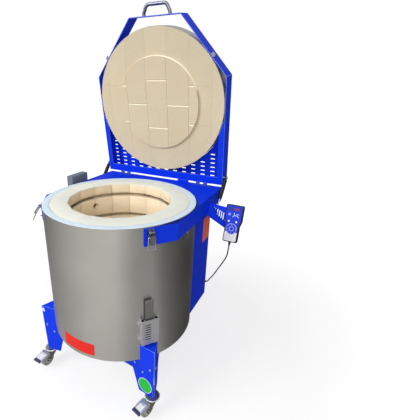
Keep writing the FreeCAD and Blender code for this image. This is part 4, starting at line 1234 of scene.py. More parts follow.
        inner, outer = self.blanket_inner, self.jacket_radius - self.jacket_sheet - 0.4
        top = self.rim + 0.3
        profile = [(inner, self.wall_bottom), (inner, top - 2.0), (inner + 0.8, top - 0.6), (inner + 3.0, top),
                   (inner + 12.0, top + 0.1), (outer - 6.0, top + 0.1), (outer - 1.0, top), (outer + 1.4, top - 0.4),
                   (outer + 1.9, top - 0.9), (outer + 1.6, top - 0.75), (outer, top - 0.9), (outer, top - 12.5),
                   (outer, self.wall_bottom)]
        shape = Shape()
        shape.lathe(profile, 256, wobble=wobble)
        shape.lathe([(0.0, self.drum_bottom + 2.2), (outer - 2.0, self.drum_bottom + 2.2),
                     (outer - 2.0, self.wall_bottom - 0.3), (0.0, self.wall_bottom - 0.3)], 96, closed=False)
        Piece("fibre_blanket", "kiln", [FIBRE], Slot.FIBRE, ["fibre_insulation"], sharp=50.0).make(shape)

    def make_trim(self) -> None:
        """The bead turned on the jacket's rim."""
        shape = Shape()
        radius = self.jacket_radius - 0.1
        shape.lathe([(radius - self.bead + self.bead * cos(turn), self.bead_height + self.bead * sin(turn))
                     for turn in turns(10)], 192)
        Piece("jacket_rim", "kiln", [CHROME], Slot.STAINLESS, sharp=60.0).make(shape)

    def build(self) -> None:
        """Makes every part of the drum."""
        self.make_walls()
        self.make_rim_cap()
        self.make_elements()
        self.make_blanket()
        self.make_trim()


# Lid


@dataclass
class Lid:
    """The lid's bricks and handle; its sheet metal is softened with the rest.

    The joints are those across each column of bricks, from the middle one outwards.
    """

    radius: float = 347.6
    height: float = 76.0
    plug_radius: float = 224.0
    plug_depth: float = 11.5
    column: float = 115.0
    joints: Sequence[Sequence[float]] = ((-116.5, 116.5), (0.0,), (-91.0, 91.0), ())
    middle: float = 2.0
    joint: float = 0.9
    ring_joint: float = 0.3
    plug_slot: float = 5.6
    reach: float = 360.0
    edge_width: float = 3.2
    edge_start: float = 200.0
    edge_sweep: float = 140.0
    edge_steps: int = 48
    handle_face: float = -390.1
    handle_height: float = 33.0
    handle_neck: float = 12.0
    handle_reach: float = 46.0
    handle_halves: tuple[float, float] = (68.0, 51.0)
    handle_bend: float = 22.0
    handle_tube: float = 8.0
    handle_foot: float = 11.5
    seed: int = 21

    def cells(self) -> list[tuple[float, float, float, float]]:
        """The columns of bricks.

        Returns:
            Each brick's limits in X and Y.
        """
        cells = []
        for column in range(-3, 4):
            edges = [-self.reach] + [self.middle + y for y in self.joints[abs(column)]] + [self.reach]
            for y0, y1 in zip(edges, edges[1:]):
                cells.append(((column - 0.5) * self.column, (column + 0.5) * self.column, y0, y1))
        return cells

    def make_bricks(self) -> None:
        """The cut bricks and the raised plug on their faces."""
        shades = random.Random(self.seed)
        shape = Shape()
        for x0, x1, y0, y1 in self.cells():
            tone = shades.random()
            gap = self.ring_joint / 2
            outline = round_piece(self.radius, (x0 + gap, x1 - gap, y0 + gap, y1 - gap), 180)
            if len(outline) > 2:
                shape.prism(outline, LID_FACE, LID_FACE + self.height, tone)
            gap = self.joint / 2
            slot = self.plug_slot / 2
            limits = (x0 + gap, x1 - gap, y0 + (slot if y0 > -self.reach else 0.0),
                      y1 - (slot if y1 < self.reach else 0.0))
            outline = round_piece(self.plug_radius, limits, 160)
            if len(outline) > 2:
                shape.prism(outline, LID_FACE - self.plug_depth, LID_FACE + 0.5, tone)
        # The plug's edge faces on its upper half, as the lid stands open, take the second finish: a painted highlight.
        for part in shape.mesh.faces:
            spot = part.calc_center_median()
            edge = abs(hypot(spot.x, spot.y) - self.plug_radius) < 0.5
            part.material_index = int(edge and spot.z < LID_FACE and spot.y < -0.3 * self.plug_radius)
        self.add_chamfers(shape)
        self.add_edge(shape)
        layer = shape.mesh.verts.layers.float["tone"]
        # The tone rises towards the hinge, so the open lid's upper bricks are painted darker and its lower ones
        # lighter: painted shade and painted light over each brick's own random tone.
        for vertex in shape.mesh.verts:
            vertex[layer] = 0.5 + 0.4 * vertex.co.y / self.radius + 0.2 * (vertex[layer] - 0.5)
        Piece("lid_bricks_dressed", "lid", [LID_BRICK, BRICK_EDGE_HIGHLIGHT], Slot.BRICK, ["lid_bricks"],
              bevel=0.3).make(shape, lid_place())

    def add_chamfers(self, shape: Shape) -> None:
        """The chamfered edges in the slits between the plug's bricks, painted pale as a highlight.

        Args:
            shape: the bricks, which get the edges as their second finish.
        """
        face = LID_FACE - self.plug_depth
        slot = self.plug_slot / 2
        shape.finish = 1
        for x0, x1, y0, _ in self.cells():
            if abs(y0) < self.plug_radius:
                reach = sqrt(self.plug_radius ** 2 - y0 ** 2) - 2.0
                start, end = max(x0 + self.joint / 2, -reach), min(x1 - self.joint / 2, reach)
                if end > start:
                    shape.plate([(y0 - slot + 1.5, face + 3.6), (y0 + slot + 0.1, face + 0.1),
                                 (y0 + slot + 0.1, face + 3.6)], start, end)

    def add_edge(self, shape: Shape) -> None:
        """The sloping edge round the plug's front half, painted pale as a highlight.

        Args:
            shape: the bricks, set to their second finish.
        """
        rows = []
        for step in range(self.edge_steps + 1):
            turn = radians(self.edge_start + self.edge_sweep * step / self.edge_steps)
            way = Vector((cos(turn), sin(turn), 0.0))
            rows.append([way * (self.plug_radius + out) + on_axis(LID_FACE - rise)
                         for out, rise in ((-0.5, self.plug_depth - 0.2), (self.edge_width, -0.2), (-0.5, -0.2))])
        shape.polyhedron(rows)

    def make_handle(self) -> None:
        """The bent tube with a flat foot at each end."""
        height = LID_FACE + self.handle_height
        face, (wide, narrow) = self.handle_face, self.handle_halves
        neck, bar = face - self.handle_neck, face - self.handle_reach
        shape = Shape()
        corners = [(-wide, face, height), (-wide, neck, height), (-narrow, bar, height),
                   (narrow, bar, height), (wide, neck, height), (wide, face, height)]
        shape.tube(rounded_path(corners, self.handle_bend, 10), self.handle_tube, 32)
        for side in (-1, 1):
            shape.rod((side * wide, face, height), (side * wide, face - 3.0, height), self.handle_foot, 32, 0.8)
        Piece("lid_handle_tube", "lid", [HANDLE], Slot.STAINLESS, ["lid_handle"], sharp=40.0).make(shape, lid_place())

    def build(self) -> None:
        """Makes the lid's own pieces."""
        self.make_bricks()
        self.make_handle()


# Sheet metal


@dataclass(frozen=True)
class SoftenedNode:
    """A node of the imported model, copied with its edges broken as folded or cut sheet has them."""

    node: str
    bevel: float = 0.8
    # The second finish for the bevel faces; the pale blue one is a painted highlight.
    edges: Finish | None = None
    body: str = "kiln"
    finish: Finish = PAINT
    slot: Slot = Slot.BLUE
    merged: float = 0.00002
    flat: float = 0.6

    def make(self) -> None:
        """Copies, merges, bevels and dresses the node."""
        work = bmesh.new()
        work.from_mesh(frame["nodes"][self.node].data)
        bmesh.ops.remove_doubles(work, verts=work.verts, dist=self.merged)
        bmesh.ops.dissolve_limit(work, angle_limit=radians(self.flat), verts=work.verts, edges=work.edges)
        bmesh.ops.triangulate(work, faces=work.faces)
        finishes = [self.finish, self.edges] if self.edges else [self.finish]
        Piece(self.node + "_dressed", self.body, finishes, self.slot, [self.node],
              bevel=self.bevel, clamp=False, bright_edges=self.edges is not None).adopt(ended(work, self.node))


SOFTENED = [
    SoftenedNode("collar", 0.9),
    SoftenedNode("electrics_box", 0.6),
    SoftenedNode("rear_cover", 0.5),
    SoftenedNode("front_leg_right", edges=PAINT_EDGE_HIGHLIGHT),
    SoftenedNode("front_leg_left", edges=PAINT_EDGE_HIGHLIGHT),
    SoftenedNode("rear_legs"),
    SoftenedNode("controller_bracket", 0.6),
    SoftenedNode("strut_brackets", 0.5),
    SoftenedNode("lid_frame", edges=PAINT_EDGE_HIGHLIGHT, body="lid"),
    SoftenedNode("air_inlet", 0.4, finish=INLET, slot=Slot.STAINLESS),
    SoftenedNode("air_slide", 0.5, body="air_slide", finish=SLIDE, slot=Slot.STAINLESS),
    SoftenedNode("switch_box", 1.2, finish=DARK_BOX, slot=Slot.DARK_BOX),
    SoftenedNode("screws", 0.7, finish=SCREW, slot=Slot.ZINC),
    SoftenedNode("hinge_fixed", 0.4, finish=HINGE, slot=Slot.ZINC),
    SoftenedNode("hinge_moving", 0.4, body="lid", finish=HINGE, slot=Slot.ZINC),
]


@dataclass
class InletShadowSheets:
    """Black sheets round the air hole and behind its housing's slots, seen through the slots and the open top: painted
    shadow.
    """

    angle: float = 51.5
    sheet: Sequence[float] = (-36.5, 36.5, -355.2, -354.2, 369.0, 486.0)
    strips: Sequence[tuple[float, float]] = ((-30.0, -24.7), (-21.3, 6.0))
    strip_sides: Sequence[float] = (-368.3, -367.9, 388.0, 474.0)

    def build(self) -> None:
        """Makes the sheet on the drum and the strips behind the slots as one piece."""
        # The black sheets stand in for the shade inside the housing: painted shadow.
        shape = Shape()
        place = turned_place(self.angle)
        shape.box(*self.sheet, place)
        for x0, x1 in self.strips:
            shape.box(x0, x1, *self.strip_sides, place)
        Piece("air_inlet_gasket", "kiln", [BLACK], Slot.BLACK).make(shape)


# Castors


@dataclass
class Castor:
    """A swivel castor, built under the origin with its wheel trailing towards the front."""

    corner: str
    x: float
    y: float
    heading: float
    braked: bool
    trail: float = 38.0
    wheel_radius: float = 36.0
    half_width: float = 12.5
    crown: float = 74.5
    top: float = 87.7
    bolt_top: float = 100.0
    cheek: tuple[float, float] = (16.0, 18.5)
    slope: float = 10.0
    pedal_ends: tuple[float, float] = (-37.0, -101.0)
    pedal_half: float = 22.5
    pedal_rise: float = 10.3
    pedal_wall: tuple[float, float] = (20.5, 22.5)
    tip_radius: float = 5.2

    @property
    def place(self) -> Matrix:
        """Where the castor stands."""
        return turned_place(-self.heading, self.x, self.y)

    def make_fork(self) -> None:
        """The pressed swivel head, its ring, the bolt, and the cheeks with the axle."""
        shape = Shape()
        crown, top, axle, radius = self.crown, self.top, -self.trail, self.wheel_radius
        shape.lathe([(4.8, crown), (24.0, crown), (28.6, crown + 3.4), (30.0, crown + 5.8), (29.0, crown + 8.2),
                     (4.8, crown + 8.4)], 64)
        shape.rod(on_axis(crown - 2.0), on_axis(self.bolt_top), 5.0, 20, 0.6)
        shape.rod(on_axis(self.bolt_top - 7.7), on_axis(self.bolt_top - 1.0), 9.0, 6, 0.8)
        outline = [(25.0, crown + 3.0), (25.0, crown - 4.0), (axle + 12.0, radius - 4.0),
                   (axle + 5.0, radius - 11.0), (axle - 6.0, radius - 11.0), (axle - 13.0, radius - 3.0),
                   (axle - 17.0, crown - 8.0), (-45.0, crown + 3.0)]
        inside, outside = self.cheek
        for side in (-1, 1):
            shape.plate(rounded_outline(outline, 7.0), side * inside, side * outside)
            for x0, x1, thick, sides, bevel in ((18.4, 19.6, 8.6, 28, 0.3), (19.5, 23.8, 7.0, 6, 0.7),
                                                (23.6, 25.4, 3.6, 18, 0.6)):
                shape.rod((side * x0, axle, radius), (side * x1, axle, radius), thick, sides, bevel)
            if self.braked:
                shape.rod((side * 17.0, axle - 6.0, crown - 4.0), (side * 24.0, axle - 6.0, crown - 4.0), 2.5, 18,
                          0.6)
        shape.prism(rounded_box(-outside, outside, 25.0, -31.0, 3.0), crown, crown + 3.0)
        # The ring's top keeps the darker fork steel as painted shade under the leg; its rim takes the pale zinc as a
        # painted highlight.
        shape.lathe([(4.8, top - 4.8), (31.6, top - 4.8), (31.6, top - 0.3), (4.8, top - 0.3)], 72)
        shape.finish = 1
        shape.lathe([(31.5, top - 5.0), (33.4, top - 5.0), (35.0, top - 3.9), (35.0, top - 1.2),
                     (34.0, top), (31.5, top)], 72)
        name = "castor_fork_" + self.corner
        Piece(name + "_dressed", name, [CASTOR_STEEL, ZINC_RIM_HIGHLIGHT], Slot.ZINC, [name], bevel=0.5).make(shape, self.place)

    def make_wheel(self) -> None:
        """The tyre and its core, with the recess round the hub."""
        shape = Shape()
        radius, half = self.wheel_radius, self.half_width
        place = Matrix.Translation((0.0, -self.trail, radius)) @ SIDEWAYS
        core = [(4.1, half + 2.5), (10.4, half + 2.5), (11.2, half + 1.8), (12.2, half - 3.4), (24.0, half - 4.4),
                (27.4, half - 3.6), (28.2, half - 1.4)]
        tyre = [(28.0, half - 1.2), (31.5, half), (33.6, half - 0.7), (35.2, half - 2.4), (radius, half - 5.4)]
        for profile in (core, tyre):
            ring = profile + [(r, -h) for r, h in reversed(profile)]
            shape.lathe(ring, 72, place=place)
            shape.finish += 1
        name = "castor_wheel_" + self.corner
        Piece(name + "_dressed", name, [CORE, WHEEL], Slot.WHEEL, [name], sharp=30.0).make(shape, self.place)

    def make_pedal(self) -> None:
        """The wide brake pedal with its pad and its moulded tip."""
        shape = Shape()
        (rear, front), high, half = self.pedal_ends, self.crown + self.pedal_rise, self.pedal_half
        lean = hinged(self.slope, rear, high)
        drop = tan(radians(self.slope))
        tip = high - (rear - front) * drop - 3.0
        shape.prism(rounded_box(-half, half, front, rear, 2.5), high - 2.5, high, place=lean)
        outline = [(rear - 1.0, high - 1.4), (rear - 1.0, self.crown - 10.0), (-60.0, self.crown - 13.0),
                   (front + 3.0, tip - 2.0), (front + 1.0, tip + 1.0)]
        for side in (-1, 1):
            shape.plate(rounded_outline(outline, 4.0, 4), *(side * x for x in self.pedal_wall))
        for y in (rear - 17.0, rear - 21.0):
            shape.prism(rounded_box(-17.0, 17.0, y - 1.0, y + 1.0, 0.9, 3), high - 0.5, high + 0.5, place=lean)
        shape.finish = 1
        shape.prism(rounded_box(-15.0, 15.0, rear - 52.0, rear - 25.0, 3.0), high - 0.5, high + 0.8, place=lean)
        shape.finish = 2
        shape.rod((-22.8, front, tip), (22.8, front, tip), self.tip_radius, 28, 1.6)
        for y0, y1 in ((front, front + 8.0), (rear - 14.0, rear - 1.0)):
            shape.prism(rounded_box(-21.0, 21.0, y0, y1, 2.0), high - 0.4, high + 1.0, place=lean)
            shape.finish = 3
        name = "castor_pedal_" + self.corner
        Piece(name + "_dressed", name, [PEDAL_STEEL, PAD, TIP, GREY_TIP], Slot.ZINC, [name],
              bevel=0.5).make(shape, self.place)

    def build(self) -> None:
        """Makes the castor's moving parts."""
        self.make_fork()
        self.make_wheel()
        if self.braked:
            self.make_pedal()


CASTORS = [
    Castor("front_right", 307.6, -243.0, 16.0, True),
    Castor("front_left", -307.6, -243.0, 3.0, True),
    Castor("rear_right", 178.0, 392.0, 24.0, False),
    Castor("rear_left", -178.0, 392.0, 9.0, False),
]


# Latches


@dataclass
class Latch:
    """A toggle latch on one arm: its base, lever and wire bail."""

    side: str
    rest: float
    pivot: tuple[float, float] = (-14.0, 886.0)
    bail_pivot: tuple[float, float] = (-12.0, 868.0)
    reach: float = 51.5
    lean: float = 0.8
    wire_radius: float = 2.0
    stand: Point = (53.6, 279.79, -215.59)

    @property
    def place(self) -> Matrix:
        """Where the latch stands on the arm's face."""
        right = turned_place(*self.stand)
        return right if self.side == "right" else MIRROR_X @ right

    @property
    def turned(self) -> Matrix:
        """The lever's turn as it hangs."""
        return hinged(-self.rest, *self.pivot)

    def add_base(self, shape: Shape) -> None:
        """Adds the riveted base plate with the pin's ears.

        Args:
            shape: the bases of both latches.
        """
        place = self.place
        shape.face_plate(rounded_box(-13.0, 13.0, 828.0, 898.0, 4.0), -2.6, -0.3, place)
        ear = rounded_box(-17.5, -2.0, 879.0, 892.5, 5.0)
        for side in (-1, 1):
            shape.plate(ear, side * 6.0, side * 8.0, place)
            for z in (834.0, 871.0):
                shape.rod(place @ Vector((side * 8.6, -2.4, z)), place @ Vector((side * 8.6, -4.0, z)), 2.8, 20, 0.8)
            shape.rod(place @ Vector((side * 11.1, *self.pivot)), place @ Vector((side * 12.4, *self.pivot)), 3.7,
                      20, 0.6)
        shape.rod(place @ Vector((-12.0, *self.pivot)), place @ Vector((12.0, *self.pivot)), 2.5, 20)
        shape.box(-4.0, 4.0, -12.0, -2.0, 838.0, 842.0, place)

    def make_lever(self) -> None:
        """The folded lever with its finger tab."""
        shape = Shape()
        wall = rounded_outline([(-18.8, 848.0), (-7.0, 851.0), (-7.0, 890.0), (-18.8, 890.0)], 4.0)
        for side in (-1, 1):
            shape.plate(wall, side * 9.0, side * 11.0, self.turned)
        face = [(-11.0, 874.0), (11.0, 874.0), (11.0, 851.0), (7.5, 848.0), (7.5, 840.0), (-7.5, 840.0),
                (-7.5, 848.0), (-11.0, 851.0)]
        shape.face_plate(rounded_outline(face, 2.4), -19.0, -17.0, self.turned)
        shape.face_plate(rounded_box(-4.0, 4.0, 852.0, 868.0, 3.9), -19.6, -18.6, self.turned)
        name = "latch_lever_" + self.side
        Piece(name + "_dressed", name, [LATCH], Slot.STAINLESS, [name], bevel=0.4).make(shape, self.place)

    def make_bail(self) -> None:
        """The bent wire that hooks over the keeper."""
        pivot = self.turned @ Vector((0.0, *self.bail_pivot))
        hang = radians(self.rest * self.lean)
        foot = pivot + Vector((0.0, -sin(hang), -cos(hang))) * self.reach
        corners = [Vector((side * x, spot.y, spot.z)) for side, x, spot in (
            (-1, 9.2, pivot), (-1, 14.5, pivot), (-1, 14.5, foot), (1, 14.5, foot), (1, 14.5, pivot), (1, 9.2, pivot))]
        shape = Shape()
        shape.tube(rounded_path(corners, 3.0, 8), self.wire_radius, 16)
        name = "latch_bail_" + self.side
        Piece(name + "_wire", name, [BAIL], Slot.CHROME, [name], sharp=60.0).make(shape, self.place)

    def build(self) -> None:
        """Makes the moving parts."""
        self.make_lever()
        self.make_bail()


LATCHES = [Latch("left", 33.0), Latch("right", 6.0)]


def make_latch_bases() -> None:
    """Makes the bases of both latches as one piece."""
    shape = Shape()
    for latch in LATCHES:
        latch.add_base(shape)
    Piece("latch_bases_dressed", "kiln", [LATCH], Slot.CHROME, ["latch_bases"], bevel=0.4).make(shape)


# Hand controller


@dataclass
class HandController:
    """The hand-held controller: case, printed face with its keys, and the cord's sleeve."""

    spot: Point = (483.0, 160.0, 729.0)
    tilt: float = 17.0
    half_width: float = 40.0
    waist: float = 7.0
    height: float = 172.0
    shoulders: tuple[float, float] = (74.0, 98.0)
    keypad: float = 62.0
    keypad_radius: float = 25.6
    display: Sequence[float] = (-28.0, 28.0, 144.0, 161.0)
    digits: Sequence[float] = (-2.0, 4.5, 11.0, 17.5)
    digit_bars: Sequence[float] = (148.6, 152.6, 156.6)
    digit_width: float = 4.0
    gland: Point = (300.2, 396.0, 330.0)
    mains_gland: Point = (-250.0, 360.0, 0.0)

    @property
    def place(self) -> Matrix:
        """Leans the controller back and carries it to its bracket."""
        return Matrix.Translation(self.spot) @ Matrix.Rotation(radians(-self.tilt), 4, "X")

    def outline(self, inset: float, corner: float) -> Outline:
        """The case's outline in X and Z.

        Args:
            inset: how far it lies inside the widest one.
            corner: how far each corner is rounded.

        Returns:
            The outline.
        """
        wide, top = self.half_width - inset, self.height - inset
        narrow, (low, high) = wide - self.waist, self.shoulders
        corners = [(-narrow, inset), (narrow, inset), (narrow, low), (wide, high), (wide, top), (-wide, top),
                   (-wide, high), (-narrow, low)]
        return rounded_outline(corners, corner, 6)

    def make_case(self) -> None:
        """Two moulded halves with soft edges and a fine seam."""
        shape = Shape()
        section = ((28.0, 4.0), (27.2, 1.8), (25.5, 0.5), (23.0, 0.0), (13.4, 0.0), (13.2, 0.6), (12.6, 0.6),
                   (12.4, 0.0), (4.0, 0.0), (1.6, 0.5), (0.4, 1.4), (0.0, 2.6))
        rows = [[Vector((x, y, z)) for x, z in self.outline(inset, 7.0)] for y, inset in section]
        shape.polyhedron(rows)
        for side in (-1, 1):
            for step in range(7):
                z = 104.0 + step * 6.0
                shape.rod((side * 39.4, 7.0, z), (side * 39.4, 21.0, z), 1.3, 10, 0.5)
        Piece("controller_case", "kiln", [BLACK], Slot.BLACK, ["controller_body"], sharp=42.0).make(shape, self.place)

    @staticmethod
    def disc(shape: Shape, x: float, z: float, radius: float, y0: float, y1: float, sides: int) -> None:
        """A flat disc or key on the face."""
        shape.rod((x, -y0, z), (x, -y1, z), radius, sides, min(0.5, (y1 - y0) * 0.4))

    @staticmethod
    def stroke(shape: Shape, line: Sequence[float], width: float) -> None:
        """A raised printed line on the face.

        Args:
            shape: the membrane.
            line: where it starts and where it ends, each in X and Z.
            width: how wide it is.
        """
        start, end = Vector(line[:2]), Vector(line[2:])
        side = (end - start).normalized().orthogonal() * width / 2
        corners = [start - side, end - side, end + side, start + side]
        shape.face_plate([tuple(corner) for corner in corners], -1.5, -1.1)

    def add_digits(self, shape: Shape) -> None:
        """The display's four digits, each with all its bars.

        Args:
            shape: the membrane.
        """
        for x in self.digits:
            for z in self.digit_bars:
                self.stroke(shape, (x, z, x + self.digit_width, z), 0.9)
            for end in (0.0, self.digit_width):
                self.stroke(shape, (x + end, self.digit_bars[0], x + end, self.digit_bars[-1]), 0.9)

    def add_keypad(self, shape: Shape) -> None:
        """The rings of the keypad, the lines between its four keys and an arrow on each.

        Args:
            shape: the membrane.
        """
        middle = self.keypad
        for radius in (23.6, 9.5):
            ring = [(radius - 0.7, 1.2), (radius + 0.7, 1.2), (radius + 0.7, 1.5), (radius - 0.7, 1.5)]
            shape.lathe(ring, 64, place=Matrix.Translation(on_axis(middle)) @ UPRIGHT)
        for step in range(4):
            turn = radians(45.0 + 90.0 * step)
            across, rise = cos(turn), sin(turn)
            self.stroke(shape, (across * 9.8, middle + rise * 9.8, across * 23.2, middle + rise * 23.2), 0.8)
            ahead, aside = cos(turn + pi / 4), sin(turn + pi / 4)
            for sign in (-1, 1):
                self.stroke(shape, (ahead * 19.5, middle + aside * 19.5, ahead * 15.5 - aside * 4.0 * sign,
                                    middle + aside * 15.5 + ahead * 4.0 * sign), 0.9)

    def make_face(self) -> None:
        """The membrane: blue above, white below, a display, two round keys and the ring of the keypad."""
        shape = Shape()
        outline = self.outline(4.8, 5.0)
        shape.face_plate(outline, -0.9, -0.05)
        shape.finish = 1
        shape.face_plate(clipped(outline, 1, 47.0, False), -1.05, -0.8)
        for x in (-17.0, 17.0):
            self.disc(shape, x, 96.0, 4.6, 0.8, 2.2, 32)
        shape.finish = 0
        self.disc(shape, 0.0, self.keypad, self.keypad_radius, 0.9, 1.3, 64)
        shape.finish = 2
        shape.face_plate(rounded_box(*self.display, 3.0), -1.2, -0.8)
        shape.finish = 3
        self.add_digits(shape)
        shape.finish = 4
        self.add_keypad(shape)
        for line in ((-24.0, 124.0, -14.0, 124.0), (-24.0, 130.0, -14.0, 130.0), (-4.0, 116.0, 4.0, 124.0),
                     (4.0, 124.0, 1.0, 136.0), (4.0, 124.0, 15.0, 124.0), (15.0, 124.0, 24.0, 116.0),
                     (12.0, 130.0, 24.0, 130.0)):
            self.stroke(shape, line, 2.2)
        Piece("controller_membrane", "kiln", [PRINT, WHITE_PRINT, DISPLAY, DIGIT, PALE_PRINT], Slot.PRINT,
              ["controller_face"], sharp=40.0).make(shape, self.place)

    def make_sleeves(self) -> None:
        """The tapered sleeves where the cord leaves the case and enters the rear box, and the mains gland."""
        shape = Shape()
        profile = [(3.05, 2.0), (6.6, 2.0), (6.6, -1.5)]
        for step in range(5):
            profile += [(radius - step * 0.5, height - step * 3.4)
                        for radius, height in ((6.1, -1.9), (6.0, -4.3), (5.2, -4.5), (5.2, -5.1))]
        profile += [(3.5, -19.4), (3.05, -19.4)]
        shape.lathe(profile, 32, place=self.place @ Matrix.Translation((0.0, 12.0, 0.0)))
        side = Matrix.Translation(self.gland) @ SIDEWAYS
        shape.lathe([(3.1, 5.5), (7.2, 5.5), (6.4, 8.0), (4.9, 13.0), (4.0, 17.0), (3.1, 17.0)], 32, place=side)
        shape.lathe([(3.1, 0.1), (9.0, 0.1), (9.0, 5.6), (3.1, 5.6)], 6, place=side)
        under = Matrix.Translation(self.mains_gland)
        shape.lathe([(6.5, 212.0), (10.5, 212.0), (12.0, 213.4), (12.6, 218.0), (12.6, 219.0), (6.5, 219.0)], 48,
                    place=under)
        for low, high, radius, sides in ((219.0, 225.0, 14.0, 6), (225.0, 229.8, 14.0, 6), (229.6, 236.0, 8.7, 32)):
            shape.lathe([(6.5, low), (radius, low), (radius, high), (6.5, high)], sides, place=under)
        Piece("cord_sleeves", "kiln", [RUBBER], Slot.BLACK, ["cable_glands"], bevel=0.3, sharp=42.0).make(shape)

    def build(self) -> None:
        """Makes the controller's pieces."""
        self.make_case()
        self.make_face()
        self.make_sleeves()


# Gas struts


@dataclass
class GasStrut:
    """A gas strut between the lid and the skirt; its rod end is the lower one."""

    side: int
    x: float = 366.0
    low: tuple[float, float] = (300.0, 801.0)
    high: tuple[float, float] = (431.0, 952.0)
    rod_ends: tuple[float, float] = (8.0, 116.0)
    rod_radius: float = 4.0
    tube_ends: tuple[float, float] = (120.0, 12.0)

    @property
    def length(self) -> float:
        """The distance between the two pins with the lid open."""
        return hypot(self.high[0] - self.low[0], self.high[1] - self.low[1])

    @property
    def place(self) -> Matrix:
        """Tilts the strut, built along Y, up from its lower pin."""
        tilt = atan2(self.high[1] - self.low[1], self.high[0] - self.low[0])
        right = Matrix.Translation((self.x, *self.low)) @ Matrix.Rotation(tilt, 4, "X")
        return right if self.side > 0 else MIRROR_X @ right

    def eye(self, shape: Shape, y: float, way: float) -> None:
        """A moulded end with its bore and the neck towards the strut.

        Args:
            shape: the rod or the cylinder.
            y: where the pin is.
            way: 1 if the strut lies above it, -1 if below.
        """
        place = Matrix.Translation((0.0, y, 0.0)) @ SIDEWAYS
        shape.lathe([(4.06, -4.8), (8.2, -4.8), (9.0, -4.0), (9.0, 4.0), (8.2, 4.8), (4.06, 4.8)], 40, place=place)
        shape.rod((0.0, y + way * 7.5, 0.0), (0.0, y + way * 13.0, 0.0), 5.2, 24, 0.8)

    def build(self) -> None:
        """Makes the rod and the cylinder."""
        side = "right" if self.side > 0 else "left"
        low, top = (self.length - end for end in self.tube_ends)
        rod = Shape()
        rod.rod(*((0.0, end, 0.0) for end in self.rod_ends), self.rod_radius, 28, 0.4)
        rod.finish = 1
        self.eye(rod, 0.0, 1.0)
        name = "strut_rod_" + side
        Piece(name + "_dressed", name, [CHROME, BLACK_STEEL], Slot.ZINC, [name], sharp=40.0).make(rod, self.place)
        tube = Shape()
        tube.lathe([(4.3, -low), (8.6, -low), (10.0, -low - 1.2), (10.5, -low - 3.0), (10.5, -top + 4.0),
                    (9.6, -top + 1.2), (7.0, -top), (4.3, -top), (4.3, -top + 5.0), (9.3, -top + 7.0),
                    (9.3, -low - 3.0), (4.3, -low - 2.0)], 48, place=UPRIGHT)
        self.eye(tube, self.length, -1.0)
        name = "strut_cylinder_" + side
        Piece(name + "_dressed", name, [BLACK_STEEL], Slot.BLACK_STEEL, [name], sharp=40.0).make(tube, self.place)


# Plain plates


@dataclass
class Plates:
    """The bare badges: a red plate on the jacket, an oval on the right leg, a plate on the rear box."""

    jacket: float = 350.0
    leg_angle: float = 51.7
    leg_apex: float = 416.0
    wing_turn: float = 58.13
    badge_start: float = -16.0
    badge_sweep: float = 28.0
    badge_heights: tuple[float, float] = (291.0, 351.0)
    badge_corner: float = 4.0
    badge_steps: int = 28
    oval: tuple[float, float] = (37.0, 41.0)

    def wing(self, left_leg: bool) -> Matrix:
        """The plane of a front leg's forward wing, X inward from the apex."""
        built = Matrix.Translation((0.0, -self.leg_apex, 0.0)) @ Matrix.Rotation(radians(self.wing_turn), 4, "Z")
        place = turned_place(self.leg_angle) @ MIRROR_X @ built
        return MIRROR_X @ place if left_leg else place

    def make_badge(self, shape: Shape) -> None:
        """The curved plate near the drum's foot.

        Args:
            shape: the plates.
        """
        rows = []
        corner, (low, high) = self.badge_corner, self.badge_heights
        for step in range(self.badge_steps + 1):
            share = step / self.badge_steps
            edge = min(share, 1.0 - share) * 171.0
            inset = corner - sqrt(max(0.0, corner ** 2 - (corner - edge) ** 2)) if edge < corner else 0.0
            way = outward(self.badge_start + self.badge_sweep * share)
            section = ((0.2, low + inset), (1.3, low + 0.3 + inset), (1.3, high - 0.3 - inset), (0.2, high - inset))
            rows.append([way * (self.jacket + out) + on_axis(z) for out, z in section])
        shape.polyhedron(rows)

    def build(self) -> None:
        """Makes the plates as one piece."""
        shape = Shape()
        self.make_badge(shape)
        # The rear box's plate takes the lighter red, painted light against the side's shade.
        shape.finish = 1
        shape.face_plate(rounded_box(322.0, 418.0, 610.0, 745.0, 5.0), 0.1, 0.9,
                         turned_place(90.0, 300.0) @ Matrix.Scale(-1.0, 4, (0.0, 1.0, 0.0)))
        lean = Matrix.Translation((52.0, 0.0, 138.0)) @ Matrix.Rotation(radians(8.0), 4, "Y")
        for finish, grow, y in ((2, 0.0, -1.1), (3, -3.4, -1.35)):
            shape.finish = finish
            wide, high = (half + grow for half in self.oval)
            shape.face_plate([(wide * cos(turn), high * sin(turn)) for turn in turns(72)], y, -0.2,
                             self.wing(False) @ lean)
        shape.finish = 2
        shape.face_plate(rounded_box(3.0, 17.0, 322.0, 344.0, 1.0), -0.8, -0.1, self.wing(True))
        Piece("plain_plates", "kiln", [RED, RED_PLATE_LIT, PALE_PLATE, GREEN], Slot.RED, ["blank_plates"], bevel=0.2,
              sharp=40.0).make(shape)


# Cord


